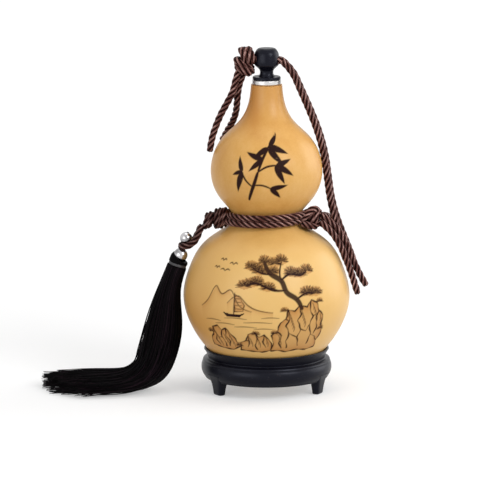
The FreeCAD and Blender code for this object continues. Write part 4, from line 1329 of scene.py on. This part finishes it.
plainPattern = {
    "specular": 0.4,
    "roughness": 0.15,  # what the clouds add
    "bump": (0.0001, 0.4),  # distance and strength
}


def plainFinish(name, low, high, rough, scale):
    finish, wire, shader = startFinish(name, {"Specular IOR Level": plainPattern["specular"]})
    cloud = noise(wire, objectPlace(wire), scale, 3.0, 0.6)
    blendColour(wire, low, high, cloud).feed(shader, "Base Color")
    (rough + cloud * plainPattern["roughness"]).feed(shader, "Roughness")
    bumpOn(wire, shader, cloud, *plainPattern["bump"])
    return finish


def dressNode(node, finish):
    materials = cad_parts[node].data.materials
    materials.clear()
    materials.append(finish)


knobLine = stopperLine()
knobPoints, knobFaces = closedGrid(turnedPoints(knobLine, roundSteps(stopper["columns"])),
                                   (0, 0, knobLine[0, 1]), (0, 0, knobLine[-1, 1]))
addPiece("stopper_knob_turned", knobPoints * mm, knobFaces, stopper["finish"], "black_knob", "stopper",
         ["stopper_knob"], sharp=stopper["sharp"])
sealLook = plainFinish("paleSeal", rgb(0.62, 0.60, 0.55), rgb(0.74, 0.72, 0.67), 0.5, 500.0)
for sealNode in ("upper_seal_ring", "lower_seal_ring"):
    dressNode(sealNode, sealLook)
dressNode("wax_coat", plainFinish("insideWax", rgb(0.55, 0.42, 0.20), rgb(0.68, 0.54, 0.28), 0.35, 120.0))
print("mouth and stopper dressed")


# Tassel: beads on a thread, a wound head and a skirt of loose threads

tassel = {
    "origin": (-51.5, -4.0, 82.6),  # the middle of the lower bead
    "lean": 18.0,
    "neckFoot": -7.1,
    "neckHalves": (5.6, 5.5),
    "rows": [  # middle, lean and two half sizes of the skirt, from the neck to its end
        (-57.3, -5.2, 65.5, 16, 6.0, 6.0), (-59.7, -6.0, 54.0, 12, 7.9, 7.6),
        (-61.6, -6.6, 40.0, 12, 10.4, 9.2), (-65.0, -7.2, 25.0, 24, 10.9, 10.8),
        (-72.4, -8.4, 12.4, 54, 9.0, 13.8), (-88.0, -9.0, 6.6, 80, 6.2, 18.6),
        (-108.0, -8.6, 5.9, 87, 5.6, 21.4), (-134.5, -7.5, 4.2, 90, 3.4, 21.8),
    ],
}
leanCosine = math.cos(math.radians(tassel["lean"]))
leanSine = math.sin(math.radians(tassel["lean"]))
leanTurn = np.array([[leanCosine, 0, leanSine], [0, 1, 0], [-leanSine, 0, leanCosine]])


def onTassel(points):
    # from the tassel's own leaning axis to the shared frame
    return (points @ leanTurn.T + np.array(tassel["origin"])) * mm


beads = {
    "pieces": {"lower": (4.2, 0.0), "upper": (3.7, 10.7)},  # radius and place on the thread
    "bore": 0.75,
    "rim": 0.28,
    "lip": (0.06, 0.02, 0.15),  # out from the bore, beyond the ball and into the bore
    "rows": 40,
    "columns": 72,
    "finish": metalFinish("mirrorBead", rgb(0.56, 0.55, 0.56), 0.15, 3000.0, tarnishAndReflection=0.42),
}


def beadLine(radius, middle):
    # half a circle from bore to bore, with a small rolled rim at each hole
    bore = beads["bore"]
    start = math.asin((bore + beads["rim"]) / radius)
    angle = np.linspace(math.pi - start, start, beads["rows"])
    ball = np.stack([radius * np.sin(angle), middle + radius * np.cos(angle)], -1)
    low, high = ball[0, 1], ball[-1, 1]
    out, beyond, into = beads["lip"]
    lip = [(bore + out, high + beyond), (bore, high - into), (bore, low + into), (bore + out, low - beyond)]
    return np.concatenate([ball, lip])


for beadName, (beadRadius, beadPlace) in beads["pieces"].items():
    turnedRing(f"bead_{beadName}_turned", beadLine(beadRadius, beadPlace), beads["columns"], onTassel,
               finish=beads["finish"], slot="bead_metal", body=f"{beadName}_bead", nodes=[f"bead_{beadName}"])


threadPattern = {
    "specular": 0.03,
    "sheen": 0.006,
    "sheenRoughness": 0.4,
    "sheenColour": rgb(0.75, 0.60, 0.72),
    "colours": {
        0.0: rgb(0.0009, 0.0007, 0.0009), 0.62: rgb(0.0018, 0.0013, 0.0017), 1.0: rgb(0.018, 0.009, 0.014),
    },
    "flecks": 420.0,
    "toneShares": (0.75, 0.3),  # of the thread's own tone and the flecks
    "roughness": (0.34, 0.2),  # the least, and what the flecks add
    "bump": (0.00008, 0.5),  # distance and strength
}


def threadFinish():
    look = threadPattern
    finish, wire, shader = startFinish("blackSilkThread", {
        "Specular IOR Level": look["specular"], "Sheen Weight": look["sheen"],
        "Sheen Roughness": look["sheenRoughness"], "Sheen Tint": look["sheenColour"],
    })
    fleck = noise(wire, objectPlace(wire), look["flecks"], 3.0, 0.6)
    ownShare, fleckShare = look["toneShares"]
    tone = ownTone(wire, "tone") * ownShare + fleck * fleckShare
    rampColour(wire, tone, look["colours"]).feed(shader, "Base Color")
    least, added = look["roughness"]
    (least + fleck * added).feed(shader, "Roughness")
    bumpOn(wire, shader, fleck, *look["bump"])
    return finish


threadLook = threadFinish()
threads = {
    "count": 720,
    "steps": 34,
    "radius": 0.33,
    "outer": 0.72,  # share of the threads that lie on the outside
    "outerDeep": (0.92, 1.0),  # how far out a thread lies, as a share of the section
    "innerDeep": (0.25, 0.85),
    "strays": 0.05,
    "strayDeep": (1.03, 1.13),
    "clumps": 46,
    "clumpPlace": (0.2, 0.8),
    "clumpShort": (-0.075, 0.0),
    "frontShort": 0.115,
    "uneven": 0.012,
    "leastReach": 0.84,
    "gatherFrom": 0.70,  # from this share of its length a thread turns towards its clump
    "gatherPower": 1.5,
    "gather": 0.55,
    "sway": 0.14,
    "swayPace": (0.8, 2.0),
    "settle": 0.2,
    "ripple": 0.035,
    "ripplePace": 2.3,
    "frayFrom": 0.86,
    "fray": (0.6, 1.5, 0.9),
    "clear": 0.1,  # above the floor
    "tipThin": 0.55,
    "tipPower": 6,
    "tonePower": 1.6,
}


def skirtAt(share):
    # middle, direction across and half sizes of the skirt's section at shares of its length
    neck = np.array(tassel["origin"]) + leanTurn @ np.array([0, 0, tassel["neckFoot"]])
    rows = np.array([(*neck, tassel["lean"], *tassel["neckHalves"])] + tassel["rows"])
    read = splineThrough(rows, share)
    lean = np.radians(read[:, 3])
    across = np.stack([np.cos(lean), np.zeros_like(lean), -np.sin(lean)], -1)
    return read[:, :3], across, read[:, 4], read[:, 5]


def threadLines():
    # a thread keeps its place in the section, wanders a little and joins a clump near its ragged end
    count, steps, clumps = threads["count"], threads["steps"], threads["clumps"]
    turn = draw.uniform(0, fullTurn, count)
    outer = draw.uniform(0, 1, count) < threads["outer"]
    outerDeep = draw.uniform(*threads["outerDeep"], count)
    deep = np.where(outer, outerDeep, np.sqrt(draw.uniform(*threads["innerDeep"], count)))
    stray = draw.uniform(0, 1, count) < threads["strays"]
    deep = np.where(stray, draw.uniform(*threads["strayDeep"], count), deep)
    clump = (turn / fullTurn * clumps).astype(int)
    clumpTurn = (np.arange(clumps) + draw.uniform(*threads["clumpPlace"], clumps)) / clumps * fullTurn
    clumpShort = draw.uniform(*threads["clumpShort"], clumps)
    front = np.clip(-np.sin(turn), 0, 1)
    reach = 1 + clumpShort[clump] - threads["frontShort"] * front + draw.normal(0, threads["uneven"], count)
    reach = np.clip(reach, threads["leastReach"], 1.0)
    along = np.linspace(0, 1, steps)
    share = along * reach[:, None]
    gather = np.clip((along - threads["gatherFrom"]) / (1 - threads["gatherFrom"]), 0, 1)
    gather = gather ** threads["gatherPower"] * threads["gather"]
    swayPace, swayStart = draw.uniform(*threads["swayPace"], (2, count, 1))
    sway = threads["sway"] * np.sin(fullTurn * (share * swayPace + swayStart))
    ownTurn = turn[:, None] + (clumpTurn[clump] - turn)[:, None] * gather + sway * share
    # strays leave the others, and ripples begin, a little way down
    settle = np.clip(share / threads["settle"], 0, 1)
    ownDeep = np.minimum(deep, 1.0)[:, None] * (1 - settle) + deep[:, None] * settle
    ripple = np.sin(fullTurn * (share * threads["ripplePace"] + turn[:, None]))
    ownDeep = ownDeep * (1 + threads["ripple"] * ripple * settle)
    middle, across, wide, tall = (each.reshape(count, steps, -1) for each in skirtAt(share.ravel()))
    line = middle + across * wide * (ownDeep * np.cos(ownTurn))[..., None]
    line[..., 1] += tall[..., 0] * ownDeep * np.sin(ownTurn)
    fray = np.clip((along - threads["frayFrom"]) / (1 - threads["frayFrom"]), 0, 1)[:, None] ** 2
    line += draw.normal(0, 1, (count, 1, 3)) * np.array(threads["fray"]) * fray
    line[..., 2] = np.maximum(line[..., 2], threads["radius"] + threads["clear"])
    return line


def skirtThreads():
    # a square tube along each thread, thinner towards its tip, closed at both ends
    line = threadLines()
    count, steps = line.shape[:2]
    sides = 4
    way = unit(np.gradient(line, axis=1))
    side = unit(np.cross(way, np.array([0.0, 1.0, 0.0])))
    thick = threads["radius"] * (1 - threads["tipThin"] * np.linspace(0, 1, steps) ** threads["tipPower"])
    tubes = line[:, :, None] + sectionRing(side, np.cross(way, side), sides) * thick[:, None, None]
    caps = np.array([[3, 2, 1, 0], [0, 1, 2, 3]]) + np.array([[0], [(steps - 1) * sides]])
    each = np.concatenate([gridFaces(steps, sides), caps])
    faces = (each[None] + np.arange(count)[:, None, None] * steps * sides).reshape(-1, 4)
    tone = np.repeat(draw.uniform(0, 1, count) ** threads["tonePower"], steps * sides)
    return tubes.reshape(-1, 3), faces, tone


skirtPoints, skirtFaces, skirtTone = skirtThreads()
addPiece("tassel_skirt_threads", skirtPoints * mm, skirtFaces, threadLook, "black_thread", "tassel",
         ["tassel_skirt"], tones={"tone": skirtTone})

skirtCore = {
    "reach": 0.84,
    "shrink": 0.88,
    "rows": 40,
    "columns": 32,
    "ridge": 0.04,
    "ridges": 11,
    "ridgeTwist": 9,
    "clear": 0.35,  # above the floor
    "tone": 0.15,
}


def coreGrid():
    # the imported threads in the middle: the section's ellipse, a little smaller and ridged
    share = np.linspace(0, skirtCore["reach"], skirtCore["rows"])[:, None]
    middle, across, wide, tall = skirtAt(share.ravel())
    angle = -roundSteps(skirtCore["columns"])
    ridge = 1 + skirtCore["ridge"] * np.sin(angle * skirtCore["ridges"] + share * skirtCore["ridgeTwist"])
    out = ridge * skirtCore["shrink"]
    grid = middle[:, None] + across[:, None] * (wide[:, None] * np.cos(angle) * out)[..., None]
    grid[:, :, 1] += tall[:, None] * np.sin(angle) * out
    grid[:, :, 2] = np.maximum(grid[:, :, 2], skirtCore["clear"])
    return closedGrid(grid, middle[0], middle[-1])


corePoints, coreFaces = coreGrid()
addPiece("tassel_skirt_core", corePoints * mm, coreFaces, threadLook, "black_thread", "tassel",
         ["tassel_skirt"], tones={"tone": np.full(len(corePoints), skirtCore["tone"])})

# Head: a cup under the lower bead, ridged by the threads that cover it; its brim stands higher on the
# outer side and dips in front
head = {
    "foot": [(0.75, -7.1), (4.5, -7.1), (4.55, -5.6)],
    "shoulder": [
        (4.55, -5.6, 0.0), (5.75, -4.9, 0.5), (5.5, -2.6, 0.9), (4.25, -1.55, 0.45), (3.0, -3.2, 0.0),
    ],
    "cup": [(4.12, -1.85), (3.6, -2.75), (2.4, -3.8), (0.75, -4.42)],
    "columns": 144,
    "ridges": 36,
    "ridge": 0.012,
    "brim": (-4.0, 2.4, 3.2),  # its foot, its height and the radius inside it
    "swell": (150.0, 1.3, 4.2),  # where it stands highest, the power of the fall, and the rise
    "dip": 1.5,
    "tone": 0.2,
}


def headPoints():
    line = np.concatenate([head["foot"], softStretch(head["shoulder"]), head["cup"]])
    turns = roundSteps(head["columns"])
    points = turnedPoints(line, turns)
    points[:, :, :2] *= 1 + head["ridge"] * np.sin(turns * head["ridges"])[:, None]
    low, height, inside = head["brim"]
    brim = np.clip((line[:, 1:] - low) / height, 0, 1) * (line[:, :1] > inside)
    highest, power, rise = head["swell"]
    swell = (0.5 + 0.5 * np.cos(turns - math.radians(highest))) ** power
    points[:, :, 2] += brim * (swell * rise - head["dip"])
    return onTassel(points)


headGrid = headPoints()
addPiece("tassel_head_cup", headGrid, gridFaces(*headGrid.shape[:2], closeRows=True), threadLook,
         "black_thread", "tassel", ["tassel_head"], tones={"tone": np.full(headGrid.size // 3, head["tone"])})

binding = {
    "radius": 5.05,
    "thread": 0.42,
    "low": -6.75,
    "high": -5.35,
    "turns": 3,
    "stepsPerTurn": 48,
    "sides": 10,
    # painted highlight: the binding is a lighter grey than the skirt's threads, for the glint along its turns
    "finish": plainFinish("greyBinding", rgb(0.020, 0.019, 0.021), rgb(0.075, 0.072, 0.078), 0.30, 900.0),
}


def windingTube():
    # a fine thread wound in close turns about the tassel's axis
    count = binding["turns"] * binding["stepsPerTurn"] + 1
    angle = np.linspace(0, binding["turns"] * fullTurn, count)
    height = np.linspace(binding["low"], binding["high"], count)
    line = np.stack([binding["radius"] * np.cos(angle), binding["radius"] * np.sin(angle), height], -1)
    ring = sectionRing(*carriedFrame(line), binding["sides"])
    return closedGrid(line[:, None] + ring * binding["thread"], line[0], line[-1])


bindingPoints, bindingFaces = windingTube()
addPiece("tassel_binding_thread", onTassel(bindingPoints), bindingFaces, binding["finish"],
         "black_thread", "tassel", ["tassel_binding"])

# Thread through the beads, with a small knot sunk in the top one
beadThread = {
    "corners": [
        (0.02, -5.0, 0.0), (0.55, -5.0, 0.0), (0.55, 14.0, 0.0), (0.72, 14.2, 0.1), (0.66, 14.55, 0.2),
        (0.02, 14.65, 0.0),
    ],
    "columns": 16,
    "tone": 0.3,
}
threadLine = softLine(beadThread["corners"])
threadTone = np.full(len(threadLine) * beadThread["columns"], beadThread["tone"])
turnedRing("tassel_thread_drawn", threadLine, beadThread["columns"], onTassel, finish=threadLook,
           slot="black_thread", body="tassel", nodes=["tassel_thread"], tones={"tone": threadTone})
print("tassel hung", len(skirtFaces), "faces")


# Floor, lights and world

studio = {
    "floor": 12.0,
    "lamps": {  # place, size and power
        "key": ((0.96, -1.04, 0.90), 0.8, 12.3),
        "side": ((1.28, 0.42, 0.45), 1.1, 8.4),
        "fill": ((-1.05, -1.25, 0.28), 1.3, 10.2),
        "top": ((0.10, 0.25, 1.50), 1.1, 4.0),
    },
    "aim": (-0.01, 0.0, 0.09),
    "ambient": 0.49,
    "floorColour": 0.66,
    "floorGlow": 0.36,
    "floorRoughness": 0.9,
    "farFloor": (0.16, 0.60),
    "white": rgb(1, 1, 1),
}


def seenRays(wire):
    # 1 for rays from the camera, mirrored or passed on by what it sees
    rays = [wire.node("LightPath", {}, {}, f"Is {kind} Ray") for kind in ("Camera", "Glossy", "Transmission")]
    return wire.maths("MINIMUM", rays[0] + rays[1] + rays[2], 1.0)


def addFloor():
    size = studio["floor"]
    corners = np.array([(-size, -size, 0), (size, -size, 0), (size, size, 0), (-size, size, 0)], float)
    mesh = bpy.data.meshes.new("floor")
    mesh.from_pydata(corners, [], [(0, 1, 2, 3)])
    # near the object the floor is lit and takes its shadow; farther off it turns to plain white
    finish, wire, shader = startFinish("paleFloor", {"Roughness": studio["floorRoughness"]})
    place = wire.node("TexCoord", {}, {}, "Object")
    far = wire.node("VectorMath", {"operation": "LENGTH"}, {0: place}, "Value").ramp(*studio["farFloor"])
    near = times(studio["floorColour"], studio["white"])
    blendColour(wire, near, rgb(0, 0, 0), far).feed(shader, "Base Color")
    level = seenRays(wire) * (far * (1.0 - studio["floorGlow"]) + studio["floorGlow"])
    glow = wire.node("Emission", {}, {"Color": studio["white"], "Strength": level})
    both = wire.node("AddShader", {}, {0: Wire(wire.tree, shader.outputs[0]), 1: glow})
    both.feed(finish.node_tree.nodes["Material Output"], "Surface")
    mesh.materials.append(finish)
    floor = bpy.data.objects.new("floor", mesh)
    bpy.context.scene.collection.objects.link(floor)


def addLamp(name, place, size, power):
    light = bpy.data.lights.new(name, "AREA")
    light.shape = "DISK"
    light.size = size
    light.energy = power
    lamp = bpy.data.objects.new(name, light)
    lamp.location = place
    aim = np.array(studio["aim"]) - np.array(place)
    flat = math.hypot(aim[0], aim[1])
    lamp.rotation_euler = (math.atan2(flat, -aim[2]), 0, math.atan2(aim[1], aim[0]) - math.pi / 2)
    bpy.context.scene.collection.objects.link(lamp)


def addWorld():
    world = bpy.data.worlds.new("studio")
    world.use_nodes = True
    bpy.context.scene.world = world
    wire = Wire(world.node_tree)
    back = world.node_tree.nodes["Background"]
    back.inputs["Color"].default_value = studio["white"]
    (seenRays(wire) * (1.0 - studio["ambient"]) + studio["ambient"]).feed(back, "Strength")


addFloor()
for lampName, (lampPlace, lampSize, lampPower) in studio["lamps"].items():
    addLamp(lampName, lampPlace, lampSize, lampPower)
addWorld()
bpy.context.scene.view_settings.view_transform = "Standard"
print("studio lit")
